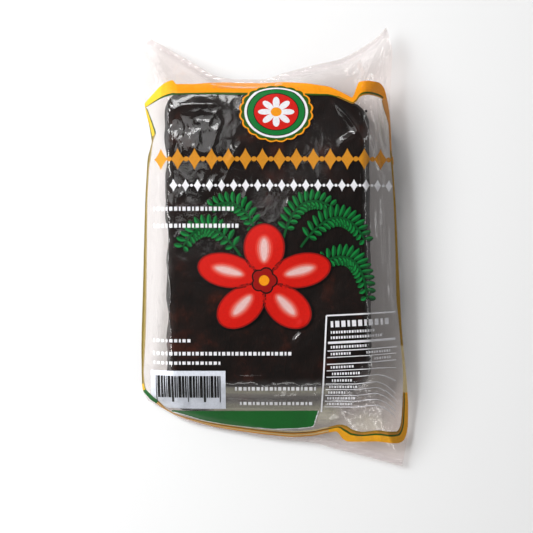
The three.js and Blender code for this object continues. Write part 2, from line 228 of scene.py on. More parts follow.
# The printed border, clockwise, in parts: outer x, y and inner x, y of each station.
BORDER = {
    "corner": [
        (-62.0, 67.6, -61.1, 66.0), (-60.9, 68.6, -59.4, 66.8), (-56.6, 72.6, -56.2, 68.2),
    ],
    "shoulder": [
        (-53.5, 75.3, -53.3, 69.4), (-50.4, 77.2, -50.0, 70.3), (-47.9, 78.0, -47.2, 70.9),
    ],
    "top": [
        (-46.0, 76.1, -45.6, 71.0), (-37.7, 76.2, -37.7, 71.2), (-30.6, 76.9, -30.6, 71.2),
        (-23.5, 77.6, -23.5, 71.1), (-11.7, 77.4, -11.7, 71.0), (0.1, 77.3, 0.1, 70.9),
        (13.4, 76.6, 13.4, 70.8), (20.5, 75.6, 20.5, 70.7), (24.4, 75.0, 24.4, 70.7),
    ],
    "dip": [
        (28.5, 73.4, 28.5, 69.9), (33.6, 70.9, 33.6, 67.9), (35.9, 69.7, 36.2, 66.9),
        (36.8, 71.1, 37.7, 67.7), (38.3, 75.0, 39.8, 70.1), (39.4, 77.1, 41.4, 70.8),
        (43.3, 77.8, 43.9, 71.1), (48.6, 77.3, 48.4, 70.5), (51.4, 74.9, 50.8, 69.4),
    ],
    "right corner": [
        (52.7, 70.4, 50.2, 69.0), (53.6, 66.0, 51.0, 65.6), (54.2, 61.0, 52.6, 61.0),
        (54.5, 57.0, 53.6, 57.0),
    ],
    "right": [
        (55.0, 46.1, 54.1, 46.1), (55.9, 35.7, 55.0, 35.7), (56.9, 20.1, 55.9, 20.1),
        (57.9, -0.7, 56.7, -0.7), (59.0, -22.5, 57.2, -22.5), (59.7, -36.0, 58.5, -36.0),
    ],
    "right foot": [
        (60.6, -46.0, 59.4, -46.0), (61.2, -52.0, 60.0, -52.0), (62.2, -61.0, 60.6, -61.0),
    ],
    "foot corner": [
        (62.8, -68.0, 60.5, -67.9), (63.2, -75.7, 60.2, -75.7), (63.2, -83.4, 59.6, -83.2),
        (62.7, -87.6, 58.7, -85.8), (61.0, -91.6, 57.3, -87.0), (58.2, -92.7, 53.5, -86.8),
        (48.0, -91.7, 48.6, -86.1), (41.0, -91.9, 41.5, -87.0), (35.0, -91.9, 36.9, -86.0),
        (32.6, -90.8, 33.8, -84.0), (28.8, -86.9, 30.4, -83.4),
    ],
    "foot": [
        (26.0, -87.4, 26.0, -84.5), (16.7, -89.4, 16.7, -86.4), (8.0, -89.9, 8.0, -87.0),
        (0.0, -89.2, 0.0, -86.6), (-10.5, -88.0, -10.5, -85.5), (-28.2, -85.2, -28.2, -83.2),
        (-40.1, -82.0, -40.1, -80.9), (-46.0, -80.0, -46.0, -79.2), (-52.0, -77.0, -51.6, -76.4),
    ],
    "tuck": [
        (-56.0, -74.2, -54.8, -72.8), (-58.8, -72.3, -57.2, -70.8), (-61.2, -69.6, -59.6, -68.4),
    ],
    "left foot": [(-62.1, -68.4, -60.6, -67.4)],
    "left": [
        (-62.8, -65.0, -61.4, -64.6), (-62.9, -59.0, -61.8, -59.0), (-62.9, -52.0, -61.4, -52.0),
        (-62.8, -43.0, -60.8, -43.0), (-62.2, -25.0, -60.3, -25.0), (-61.6, -0.7, -60.1, -0.7),
        (-61.0, 20.1, -59.9, 20.1), (-60.1, 38.0, -59.0, 38.0), (-59.8, 42.0, -58.2, 42.4),
        (-58.4, 47.6, -57.5, 48.2), (-57.9, 50.2, -57.0, 50.8),
    ],
    "hem": [
        (-58.2, 52.0, -55.8, 53.5), (-59.1, 56.6, -57.0, 57.6), (-60.4, 61.5, -58.7, 62.0),
        (-61.5, 65.4, -60.4, 65.8),
    ],
}
# How each part of the border is split across, from its outer edge, and the ink of each strip.
BORDER_STRIPS = {
    "corner": ([0.3, 0.58, 0.86, 1.0], ["yellow", "yellow", "yellow", "dark_green"]),
    "shoulder": ([0.3, 0.58, 0.86, 1.0], ["amber", "amber", "amber", "dark_green"]),
    "top": ([0.3, 0.6, 0.86, 1.0], ["orange", "orange", "orange", "dark_green"]),
    "dip": ([0.25, 0.5, 0.78, 0.90, 1.0], ["orange", "orange", "orange", "dark_green", "gold"]),
    "right corner": ([0.5, 0.9, 1.0], ["peach", "peach", "ochre"]),
    "right": ([0.5, 1.0], ["ochre", "ochre"]),
    "right foot": ([0.5, 1.0], ["cream", "cream"]),
    "foot corner": (
        [0.28, 0.56, 0.72, 0.86, 1.0], ["amber", "amber", "dark_green", "gold", "ochre"],
    ),
    "foot": ([0.22, 0.42, 0.62, 0.82, 1.0], ["gold", "cream", "gold", "brown", "cream"]),
    "tuck": ([0.5, 1.0], ["band_green", "band_green"]),
    "left foot": ([0.6, 1.0], ["yellow", "khaki"]),
    "left": ([0.45, 0.72, 1.0], ["olive", "khaki", "dun"]),
    "hem": ([0.18, 0.72, 1.0], ["dark_green", "yellow", "dark_green"]),
}
PRINT_STEP = 0.8  # spacing of the points of a printed shape, fine enough to lie on the film
PRINT_LIFT = {"under": 0.08, "middle": 0.14, "top": 0.20}  # over the film's outer face
HIGH_OVER = 100.0  # a height over the whole packet, to look down from
RIM_LEVEL = 8.0  # about the level of the rim, for a print that reaches past the film


# ---- Colours and nodes -----------------------------------------------------------------------------


def linear(code):
    """Linear RGBA of an sRGB hex colour such as '#f59b17'."""
    channels = [int(code[i : i + 2], 16) / 255 for i in (1, 3, 5)]
    toned = [c / 12.92 if c <= 0.04045 else ((c + 0.055) / 1.055) ** 2.4 for c in channels]
    return (*toned, 1.0)


def add_node(tree, kind, inputs=None, stops=None, **settings):
    """Adds a node with its settings, its ramp's stops, and its inputs: a value, or an output to link."""
    made = tree.nodes.new("ShaderNode" + kind)
    for name, value in settings.items():
        setattr(made, name, value)
    if stops:
        ramp = made.color_ramp
        while len(ramp.elements) < len(stops):
            ramp.elements.new(0.5)
        for element, (position, colour) in zip(ramp.elements, stops):
            element.position = position
            element.color = colour
    for name, value in (inputs or {}).items():
        if isinstance(value, bpy.types.NodeSocket):
            tree.links.new(value, made.inputs[name])
        else:
            made.inputs[name].default_value = value
    return made


def opaque(colour):
    """Linear RGBA of a colour setting."""
    return (*colour, 1.0)


def grey(value):
    """Linear RGBA of a grey."""
    return opaque([value] * 3)


def new_material(name):
    """An empty node material and its tree."""
    material = bpy.data.materials.new(name)
    material.use_nodes = True
    material.node_tree.nodes.clear()
    return material, material.node_tree


def object_position(tree):
    """The place on the object, in millimetres, so that a noise of scale 1 / L has grains L mm wide."""
    place = add_node(tree, "TexCoord").outputs["Object"]
    to_millimetres = {0: place, 1: (1 / MM, 1 / MM, 1 / MM)}
    return add_node(tree, "VectorMath", to_millimetres, operation="MULTIPLY").outputs["Vector"]


FILM_MIRROR = 0.077  # what both faces of a film of index 1.5 reflect when seen straight on
RIB_SPACING = 0.6 * math.pi  # of the seals' ribs, coarser than the real 0.5 mm so that they show
WAVE_PERIOD = math.pi / 10  # the distance at which a wave texture of scale 1 repeats


def clear_film_material(settings):
    """Cast polypropylene film, clear and calendered: it shows as sharp reflections over what it covers.

    Both faces of the film reflect as one sheet here.  The heat seals are pressed with fine ribs and
    are a little milkier.  At the foot, over the gathered lower right corner and in streaks on the upper
    right flap, light and shade are painted in as haze: painted reflections, highlights and shade.
    """
    material, tree = new_material("Cast polypropylene film, clear")
    place = object_position(tree)
    seal = add_node(tree, "Attribute", attribute_name="seal").outputs["Fac"]
    painted_light = add_node(tree, "Attribute", attribute_name="painted_light").outputs["Fac"]
    # The relief: crinkles with grains of 7 mm, and ribs where the film is sealed.
    grains = {"Vector": place, "Scale": 1 / 7.0, "Detail": 3.0}
    crinkle = add_node(tree, "TexNoise", grains).outputs["Fac"]
    waves = {"Vector": place, "Scale": WAVE_PERIOD / RIB_SPACING}
    ribs = add_node(tree, "TexWave", waves, bands_direction="Y").outputs["Fac"]
    relief = add_node(tree, "Math", {0: ribs, 1: seal, 2: crinkle}, operation="MULTIPLY_ADD").outputs[0]
    bump = add_node(tree, "Bump", {"Height": relief, "Strength": 0.35, "Distance": 0.4 * MM})
    normal = bump.outputs["Normal"]
    # The body: clear, milky where it is sealed, and milky where light and shade are painted in.
    span = {"Value": seal, "To Min": settings.haze, "To Max": settings.seal_haze}
    pressed = add_node(tree, "MapRange", span).outputs["Result"]
    haze_share = add_node(tree, "Math", {0: pressed, 1: painted_light}, operation="ADD").outputs[0]
    # The tint turns olive where the haze stands in for the shaded floor at the foot: painted shade.
    stops = [(0.0, linear("#dccfd2")), (0.35, linear("#cdc8b2"))]
    haze_tint = add_node(tree, "ValToRGB", {"Fac": painted_light}, stops=stops).outputs["Color"]
    clear = add_node(tree, "BsdfTransparent", {"Color": linear("#fefbfa")}).outputs[0]
    haze = add_node(tree, "BsdfDiffuse", {"Color": haze_tint, "Normal": normal}).outputs[0]
    body = add_node(tree, "MixShader", {0: haze_share, 1: clear, 2: haze}).outputs[0]
    # The mirror: Schlick's curve, the same from both sides, as a thin sheet reflects nothing in full.
    facing = add_node(tree, "LayerWeight", {"Blend": 0.5, "Normal": normal}).outputs["Facing"]
    steep = add_node(tree, "Math", {0: facing, 1: 5.0}, operation="POWER").outputs[0]
    curve = {0: steep, 1: 1 - FILM_MIRROR, 2: FILM_MIRROR}
    reflects = add_node(tree, "Math", curve, operation="MULTIPLY_ADD").outputs[0]
    polish = {"Color": grey(1.0), "Roughness": 0.13, "Normal": normal}
    gloss = add_node(tree, "BsdfGlossy", polish).outputs[0]
    sheet = add_node(tree, "MixShader", {0: reflects, 1: body, 2: gloss}).outputs[0]
    add_node(tree, "OutputMaterial", {"Surface": sheet})
    return material


def pulp_material(settings):
    """Fruit pulp, pitted, kneaded and pressed into a block: nearly black, moist, with redder fibres.

    It clings to the film, so its own gloss hardly shows.
    """
    material, tree = new_material("Tamarind pulp, pressed")
    place = object_position(tree)
    # Redder patches with grains of 14 mm, and fibres 1.6 mm wide that lie aslant.
    grains = {"Vector": place, "Scale": 1 / 14.0, "Detail": 4.0}
    patches = add_node(tree, "TexNoise", grains).outputs["Fac"]
    aslant = {"Vector": place, "Scale": (1.0, 0.6, 1.0), "Rotation": (0, 0, 0.9)}
    place = add_node(tree, "Mapping", aslant).outputs["Vector"]
    threads = {"Vector": place, "Scale": 1 / 1.6, "Detail": 5.0, "Distortion": 0.8}
    fibres = add_node(tree, "TexNoise", threads).outputs["Fac"]
    tones = [(0.40, settings.dark), (0.57, settings.middle), (0.72, settings.red)]
    stops = [(level, opaque(tone)) for level, tone in tones]
    colour = add_node(tree, "ValToRGB", {"Fac": patches}, stops=stops).outputs["Color"]
    stops = [(0.54, grey(1.0)), (0.70, opaque((1.7, 1.25, 1.15)))]
    lighter = add_node(tree, "ValToRGB", {"Fac": fibres}, stops=stops).outputs["Color"]
    colour = add_node(tree, "VectorMath", {0: colour, 1: lighter}, operation="MULTIPLY")
    bump = add_node(tree, "Bump", {"Height": fibres, "Strength": 0.6, "Distance": 0.4 * MM})
    surface = add_node(
        tree,
        "BsdfPrincipled",
        {
            "Base Color": colour.outputs["Vector"],
            "Roughness": 0.45,
            "IOR": 1.45,
            "Specular IOR Level": 0.1,
            "Normal": bump.outputs["Normal"],
        },
    )
    add_node(tree, "OutputMaterial", {"Surface": surface.outputs[0]})
    return material


INKS = {
    # name: colour, share of the light that it scatters; it tints the rest and lets it through
    "orange": ("#ffa014", 0.88),
    "title_orange": ("#dc9224", 0.85),
    "yellow": ("#f2bf26", 0.85),
    "amber": ("#f7ae1c", 0.85),
    "peach": ("#e6a45c", 0.60),
    "gold": ("#c98a2c", 0.80),
    "ochre": ("#a07c22", 0.85),
    "olive": ("#74631f", 0.85),
    "khaki": ("#9a884c", 0.80),
    "dun": ("#b9a67c", 0.50),
    "brown": ("#7a5218", 0.85),
    "cream": ("#f0dca8", 0.50),
    "dark_green": ("#2c5205", 0.95),
    "green": ("#0a7430", 0.96),
    "leaf_dark": ("#084e22", 0.96),
    "leaf_light": ("#118038", 0.96),
    "band_green": ("#0a6420", 0.97),
    "black": ("#0b0a0a", 0.98),
    "deep_red": ("#98100a", 0.96),
    "red": ("#d0160a", 0.96),
    "light_red": ("#da3225", 0.96),
    "coral": ("#de6358", 0.96),
    "rose": ("#e2958e", 0.96),
    "pink": ("#e6bcb8", 0.96),
    "panel_white": ("#dce0ea", 0.96),
    "white": ("#eeedf1", 0.95),
}


def ink_material(name):
    """Gravure ink on the film's outer face: satin, a little see-through, fine-grained in its tone."""
    title = "Gravure ink, " + name.replace("_", " ")
    if title in bpy.data.materials:
        return bpy.data.materials[title]
    code, cover = INKS[name]
    full = linear(code)
    thin = opaque([channel * 0.9 for channel in full[:3]])
    material, tree = new_material(title)
    # A mottle with grains of 0.9 mm: the real screen's cells of 0.15 mm are too fine to show.
    grains = {"Vector": object_position(tree), "Scale": 1 / 0.9, "Detail": 2.0}
    mottle = add_node(tree, "TexNoise", grains).outputs["Fac"]
    stops = [(0.35, thin), (0.65, full)]
    tone = add_node(tree, "ValToRGB", {"Fac": mottle}, stops=stops).outputs["Color"]
    through = add_node(tree, "BsdfTransparent", {"Color": full}).outputs[0]
    satin = {"Base Color": tone, "Roughness": 0.38, "Specular IOR Level": 0.25}
    surface = add_node(tree, "BsdfPrincipled", satin).outputs[0]
    mixed = add_node(tree, "MixShader", {0: cover, 1: through, 2: surface}).outputs[0]
    add_node(tree, "OutputMaterial", {"Surface": mixed})
    return material


# ---- Shape of the film -----------------------------------------------------------------------------


def smooth_through(places, values, at):
    """Values at some places, on a cubic through the given ones that doesn't overshoot them."""
    places = np.asarray(places, float)
    values = np.asarray(values, float)
    at = np.clip(at, places[0], places[-1])
    gaps = np.diff(places)
    rises = np.diff(values, axis=0) / gaps[:, None]
    slopes = np.zeros_like(values)
    slopes[0], slopes[-1] = rises[0], rises[-1]
    product = rises[:-1] * rises[1:]
    total = rises[:-1] + rises[1:]
    same_way = product > 1e-12
    slopes[1:-1][same_way] = 2 * product[same_way] / total[same_way]
    cell = np.clip(np.searchsorted(places, at, side="right") - 1, 0, len(gaps) - 1)
    gap = gaps[cell][:, None]
    t = ((at - places[cell]) / gaps[cell])[:, None]
    start, end = values[cell], values[cell + 1]
    slope_in, slope_out = slopes[cell] * gap, slopes[cell + 1] * gap
    return (
        (2 * t**3 - 3 * t**2 + 1) * start
        + (t**3 - 2 * t**2 + t) * slope_in
        + (3 * t**2 - 2 * t**3) * end
        + (t**3 - t**2) * slope_out
    )


def ramp(value, start, end):
    """0 up to the start and 1 from the end, which may lie on either side of it."""
    return np.clip((value - start) / (end - start), 0, 1)


def lengths_along(line):
    """The length of a line up to each of its points."""
    return np.concatenate([[0], np.cumsum(np.linalg.norm(np.diff(line, axis=0), axis=1))])


def fold_at(points, y):
    """Points of a side fold, or of its ear, at the given y."""
    table = np.array(points)
    found = smooth_through(table[:, 1], table[:, [0, 2]], y)
    y = np.clip(y, table[0, 1], table[-1, 1])
    return np.column_stack([found[:, 0], y, found[:, 1]])


def rim_at(points, x):
    """Points of an end's rim at the given x."""
    table = np.array(points)
    found = smooth_through(table[:, 0], table[:, [1, 2]], x)
    x = np.clip(x, table[0, 0], table[-1, 0])
    return np.column_stack([x, found[:, 0], found[:, 1]])


def face_rise(x, y):
    """The height of the pulp's face over its nominal plane: lower at the rim, with broad lumps."""
    across = (x - BLOCK_MIDDLE[0]) / BLOCK_HALF[0]
    along = (y - BLOCK_MIDDLE[1]) / BLOCK_HALF[1]
    lumps = np.sin(x / 9 + 0.6) * np.cos(y / 13 - 0.4) + 0.6 * np.sin(x / 17 - y / 11 + 2)
    return LUMP_HEIGHT * lumps - LUMP_DROP - EDGE_DROP * np.minimum(1, across**4 + along**4)


def grid_lines(inner):
    """Places of a wall's grid lines: 0 and 3 are the rim, 1 and 2 the edges of the block's flat."""
    flap = np.arange(WALL_LINES["flap"]) / WALL_LINES["flap"]
    return np.concatenate([flap, 1 + np.arange(inner) / inner, 2 + flap, [3.0]])


def wall_rays(across, along):
    """How each place of a wall heads for the rim.

    These are its start on the block's flat, the rim point that it heads for, how far it has come, and
    how much it heads for the foot of the packet.
    """
    y = FLAT_LOW[1] + (FLAT_HIGH[1] - FLAT_LOW[1]) * np.clip(along - 1, 0, 1)
    x = FLAT_LOW[0] + (FLAT_HIGH[0] - FLAT_LOW[0]) * np.clip(across - 1, 0, 1)
    x = x - LEAN * (y - BLOCK_MIDDLE[1])
    out = np.maximum.reduce([1 - across, across - 2, 0 * across])
    end = np.maximum.reduce([1 - along, along - 2, 0 * along])
    share = np.maximum(out, end)
    target = np.zeros((len(x), 3))
    for right, fold in ((False, LEFT_FOLD), (True, RIGHT_FOLD)):
        for top, rim in ((False, BOTTOM_RIM), (True, TOP_RIM)):
            here = ((across >= MIDDLE_LINE) == right) & ((along >= MIDDLE_LINE) == top)
            tip_y = fold[-1 if top else 0][1]
            tip_x = rim[-1 if right else 0][0]
            side = here & (out >= end) & (share > 0)
            part = end[side] / np.maximum(out[side], 1e-9)
            target[side] = fold_at(fold, y[side] + (tip_y - y[side]) * part)
            cap = here & (out < end)
            part = out[cap] / end[cap]
            target[cap] = rim_at(rim, x[cap] + (tip_x - x[cap]) * part)
    footward = np.where(along < 1, end / np.maximum(out + end, 1e-9), 0)
    return x, y, target, share, footward


def taut_section(reach, drop, share, radius):
    """How far out and how far down a taut wall is: round the block's edge, then straight to the rim."""
    from_centre = np.hypot(reach, drop - radius)
    lean = np.arcsin(np.minimum(1, radius / from_centre))
    turn = np.maximum(0, np.arctan2(drop - radius, reach) + lean)
    angle = turn * np.minimum(1, share / ROUND_SHARE)
    straight = np.maximum(0, (share - ROUND_SHARE) / (1 - ROUND_SHARE))
    out = radius * np.sin(angle)
    down = radius * (1 - np.cos(angle))
    return out + (reach - out) * straight, down + (drop - down) * straight


def wall_grid(side):
    """The taut front wall, for side 1, or back wall, for -1, as rows of points, and each one's share."""
    rows, columns = grid_lines(WALL_LINES["along"]), grid_lines(WALL_LINES["across"])
    along, across = (part.ravel() for part in np.meshgrid(rows, columns, indexing="ij"))
    x, y, target, share, footward = wall_rays(across, along)
    off = share > 0
    reach = np.where(off, np.hypot(target[:, 0] - x, target[:, 1] - y), 1.0)
    foot = (FOOT_RADIUS - EDGE_RADIUS) * footward
    if side > 0:
        face = FACE_LEVEL + FILM_LIFT + face_rise(x, y)
        flat, radius = 0 * foot, EDGE_RADIUS + FILM_LIFT + foot
    else:
        face = np.full(len(x), BACK_LEVEL)
        flat, radius = foot, EDGE_RADIUS + FILM_LIFT + 0 * foot
    drop = side * (face - target[:, 2]) - RIM_SPACING
    # The back wall lies flat for a stretch where the front wall's rounder edge has already begun.
    flat_share = FLAT_SHARE * footward * (side < 0)
    later = np.maximum(0, (share - flat_share) / (1 - flat_share))
    out, down = taut_section(reach - flat, drop, later, radius)
    out = out + flat * np.minimum(1, share / np.maximum(flat_share, 1e-9))
    part = np.where(off, out / reach, 0)
    points = np.column_stack(
        [
            x + (target[:, 0] - x) * part,
            y + (target[:, 1] - y) * part,
            face - side * np.where(off, down, 0),
        ]
    )
    shape = (len(rows), len(columns))
    return points.reshape(*shape, 3), share.reshape(shape)


def seal_share(points, width):
    """1 inside the pressed seal along the two ends of the bag and 0 away from it."""
    flat = points.reshape(-1, 3)
    top = rim_at(TOP_RIM, flat[:, 0])[:, 1] - flat[:, 1]
    bottom = flat[:, 1] - rim_at(BOTTOM_RIM, flat[:, 0])[:, 1]
    depth = np.minimum(top, bottom) / width
    return ramp(depth, 1, SEAL_FULL).reshape(points.shape[:2])


def patch_share(x, y, patch, power=2):
    """1 in the middle of a patch, fading to 0 over its reach; a higher power fades later across."""
    (middle_x, middle_y), (reach_x, reach_y) = patch
    return np.exp(-np.abs((x - middle_x) / reach_x) ** power - ((y - middle_y) / reach_y) ** 2)


def painted_light_share(points):
    """Painted light: share of the light the film scatters, in bands over the foot, in patches and in
    streaks, standing in for reflections, highlights and shade.
    """
    x, y = points[:, :, 0], points[:, :, 1]
    bands = np.interp(y, list(FOOT_PAINTED_LIGHT), list(FOOT_PAINTED_LIGHT.values()))
    sides = np.interp(x, list(FOOT_PAINTED_LIGHT_SIDES), list(FOOT_PAINTED_LIGHT_SIDES.values()))
    band_waver = 1 + 0.12 * np.sin(3.1 * y + 1.5 * np.sin(x / 11))
    patches = [share * patch_share(x, y, patch) for share, patch in PAINTED_LIGHT_PATCHES]
    share, patch = FLAP_PAINTED_HIGHLIGHTS
    streaks = share * patch_share(x, y, patch) * (1 + 0.35 * np.sin(2.6 * x + 0.3 * y))
    return np.maximum.reduce([bands * sides * band_waver, streaks, *patches])


def grid_normals(points):
    """Unit normals of a grid of points, upwards for a grid that runs along +X and +Y."""
    east = np.gradient(points, axis=1)
    north = np.gradient(points, axis=0)
    normal = np.cross(east, north)
    return normal / np.maximum(np.linalg.norm(normal, axis=2, keepdims=True), 1e-9)


def crease_heights(points):
    """Heights of the creases: each has a sharp crest that fades out towards its ends."""
    flat = points.reshape(-1, 3)[:, :2]
    heights = np.zeros(len(flat))
    for height, width, route in CREASES:
        route = np.array(route)
        before = lengths_along(route)
        nearest = np.full(len(flat), np.inf)
        place = np.zeros(len(flat))
        for i, length in enumerate(np.diff(before)):
            way = (route[i + 1] - route[i]) / length
            along = np.clip((flat - route[i]) @ way, 0, length)
            distance = np.linalg.norm(flat - route[i] - along[:, None] * way, axis=1)
            closer = distance < nearest
            nearest[closer] = distance[closer]
            place[closer] = before[i] + along[closer]
        # A little of the height is left at the very ends.
        fade = np.sin(math.pi * (0.04 + 0.92 * place / before[-1])) ** 0.7
        heights += height * fade * np.exp(-((nearest / width) ** CREST_POWER))
    return heights.reshape(points.shape[:2])


def film_noise(points, grain, seed):
    """Noise at each of the points, with grains this wide and this long."""
    return np.array([noise.noise(Vector((x / grain[0], y / grain[1], seed))) for x, y, _ in points])


def crinkles(points, share, seed):
    """Heights of the film's chance wrinkles: broad and high on the flaps, low and fine on the face."""
    flat = points.reshape(-1, 3)
    x, y = flat[:, 0], flat[:, 1]
    slack = 1 - 0.7 * patch_share(x, y, TAUT_FOOT, power=4)
    places = {
        "wall": np.ones(len(flat)),
        "flap": np.sin(math.pi * np.minimum(1, share.ravel())) ** 0.8 * slack,
        "hollow": patch_share(x, y, HOLLOW),
        "gather": patch_share(x, y, GATHER),
        "ear": patch_share(x, y, EAR),
    }

    heights = np.zeros(len(flat))
    for form, grain, step, by_place in WRINKLES:
        wave = film_noise(flat, grain, seed + step)
        if form == "ridge":
            wave = (1 - 2 * np.abs(wave)) ** 3
        heights += wave * sum(height * places[name] for name, height in by_place.items())
    return heights.reshape(share.shape)


# ---- Meshes ---------------------------------------------------------------------------------------


def make_object(name, vertices, faces, materials, cell_materials=None, smooth=True):
    """A new mesh object from points in millimetres."""
    mesh = bpy.data.meshes.new(name)
    mesh.from_pydata([tuple(v) for v in np.asarray(vertices, float) * MM], [], faces)
    for material in materials:
        mesh.materials.append(material)
    if cell_materials is not None:
        mesh.polygons.foreach_set("material_index", cell_materials)
    mesh.polygons.foreach_set("use_smooth", [smooth] * len(mesh.polygons))
    mesh.update()
    made = bpy.data.objects.new(name, mesh)
    bpy.context.scene.collection.objects.link(made)
    return made


def wall_object(name, points, material, shares):
    """A wall of the bag, whose attributes say where it is sealed and where light and shade are painted
    in as haze.
    """
    rows, columns = points.shape[:2]
    index = np.arange(rows * columns).reshape(rows, columns)
    faces = np.stack([index[:-1, :-1], index[:-1, 1:], index[1:, 1:], index[1:, :-1]], axis=2)
    made = make_object(name, points.reshape(-1, 3), faces.reshape(-1, 4).tolist(), [material])
    for share_name, share in shares.items():
        attribute = made.data.attributes.new(share_name, "FLOAT", "POINT")
        attribute.data.foreach_set("value", share.ravel().astype(np.float32))
    return made


def box_surface(counts):
    """A box's surface, from -1 to 1 on each axis, as points and quads with counts cells on each axis."""
    index, points, faces = {}, [], []

    def corner(key):
        if key not in index:
            index[key] = len(points)
            points.append([2 * k / n - 1 for k, n in zip(key, counts)])
        return index[key]

    for axis in range(3):
        a, b = (axis + 1) % 3, (axis + 2) % 3
        for end in (0, counts[axis]):
            for i in range(counts[a]):
                for j in range(counts[b]):
                    ring = []
                    for di, dj in ((0, 0), (1, 0), (1, 1), (0, 1)):
                        key = [0, 0, 0]
                        key[axis], key[a], key[b] = end, i + di, j + dj
                        ring.append(corner(tuple(key)))
                    faces.append(ring if end else ring[::-1])
    return np.array(points), faces


def rounded(a, b, half_a, half_b, radius):
    """Rounds the corners of rectangles: a point on a square ring goes to the circle that it holds."""
    over_a = a - np.clip(a, radius - half_a, half_a - radius)
    over_b = b - np.clip(b, radius - half_b, half_b - radius)
    square = np.maximum(np.abs(over_a), np.abs(over_b))
    length = np.hypot(over_a, over_b)
    shrink = square / np.where(length > 0, length, 1) - 1
    return a + over_a * shrink, b + over_b * shrink


def plain_block(counts):
    """The block round its middle, as points and quads: a box, rounded in plan and in section."""
    unit, faces = box_surface(counts)
    # More of the points go to the rounded edges.
    spread = 0.35 * unit + 0.65 * np.sin(unit * math.pi / 2)
    half_x, half_y, half_z = FACE_HALF
    x, y, z = (spread * FACE_HALF).T
    radius = np.where(
        y < 0,
        np.where(x < 0, CORNER_RADII["foot left"], CORNER_RADII["foot right"]),
        np.where(x < 0, CORNER_RADII["top left"], CORNER_RADII["top right"]),
    )
    depth = np.minimum(half_x - np.abs(x), half_y - np.abs(y))
    near = depth < EDGE_RADIUS
    after, level = rounded(EDGE_RADIUS - depth, z, EDGE_RADIUS, half_z, EDGE_RADIUS)
    x = np.where(near, x * (half_x - EDGE_RADIUS + after) / np.maximum(half_x - depth, 1e-6), x)
    y = np.where(near, y * (half_y - EDGE_RADIUS + after) / np.maximum(half_y - depth, 1e-6), y)
    z = np.where(near, level, z)
    depth = np.where(near, EDGE_RADIUS - after, depth)
    x, y = rounded(x, y, half_x - depth, half_y - depth, np.maximum(0, radius - depth))
    return x, y, z, faces


def block_surface(counts):
    """The block as points and quads: askew, with an uneven face, and settled in the bag."""
    x, y, z, faces = plain_block(counts)
    x, y = x + BLOCK_MIDDLE[0] - LEAN * y, y + BLOCK_MIDDLE[1]
    lift = (z / FACE_HALF[2] + 1) / 2
    z = z + BLOCK_LOW[2] + FACE_HALF[2] + lift * face_rise(x, y)
    # The pulp doesn't quite fill the top right corner.
    right, top = ramp(x, 22, 36), ramp(y, 30, 76)
    y = y - TOP_RIGHT_PULL * right**2 * (3 - 2 * right) * top**2
    # Its foot spreads a little over the back wall, but for the lower right corner.
    foot = ramp(y, BLOCK_LOW[1] + 8, BLOCK_LOW[1]) * ramp(x, 34, 20)
    y = y - FOOT_SPREAD * foot * (1 - lift) ** 0.8
    # Its left edge wavers.
    left = ramp(x, BLOCK_LOW[0] + 14, BLOCK_LOW[0])
    waver = np.sin(y / 6.1 + 1.0) + 0.8 * np.sin(y / 2.9) + 0.5 * np.sin(y / 13 + 2.0)
    x = x + EDGE_WAVER * left * np.maximum(0, waver + 0.8)
    return np.column_stack([x, y, z]), faces


# ---- Printing -------------------------------------------------------------------------------------


class FilmSurface:
    """The front wall of the finished film, to lay printed shapes on."""

    STEEPEST = 0.25  # the least rise of a normal that a clearance still follows
    tree = None

    @classmethod
    def read(cls, film):
        """Keeps the film's faces for the shapes that are printed on it."""
        mesh = film.data
        vertices = [v.co.copy() for v in mesh.vertices]
        cls.tree = BVHTree.FromPolygons(vertices, [tuple(p.vertices) for p in mesh.polygons])

    @classmethod
    def seen(cls, x, y):
        """The film's point, or None, and its normal at a place seen from above, in metres."""
        return cls.tree.ray_cast(Vector((x, y, HIGH_OVER)) * MM, Vector((0, 0, -1)))[:2]

    @classmethod
    def level_under(cls, x, y, clearance):
        """The level, in millimetres, that keeps a clearance under the film at a place."""
        hit, normal = cls.seen(x, y)
        return hit.z / MM - clearance / max(cls.STEEPEST, abs(normal.z))

    @classmethod
    def lay(cls, x, y, lift):
        """The point, in millimetres, that is lift over the film's outer face at a place."""
        hit, normal = cls.seen(x, y)
        if hit is None:
            hit, normal = cls.tree.find_nearest(Vector((x, y, RIM_LEVEL)) * MM)[:2]
        if normal.z < 0:
            normal = -normal
        return (hit + normal * lift * MM) / MM


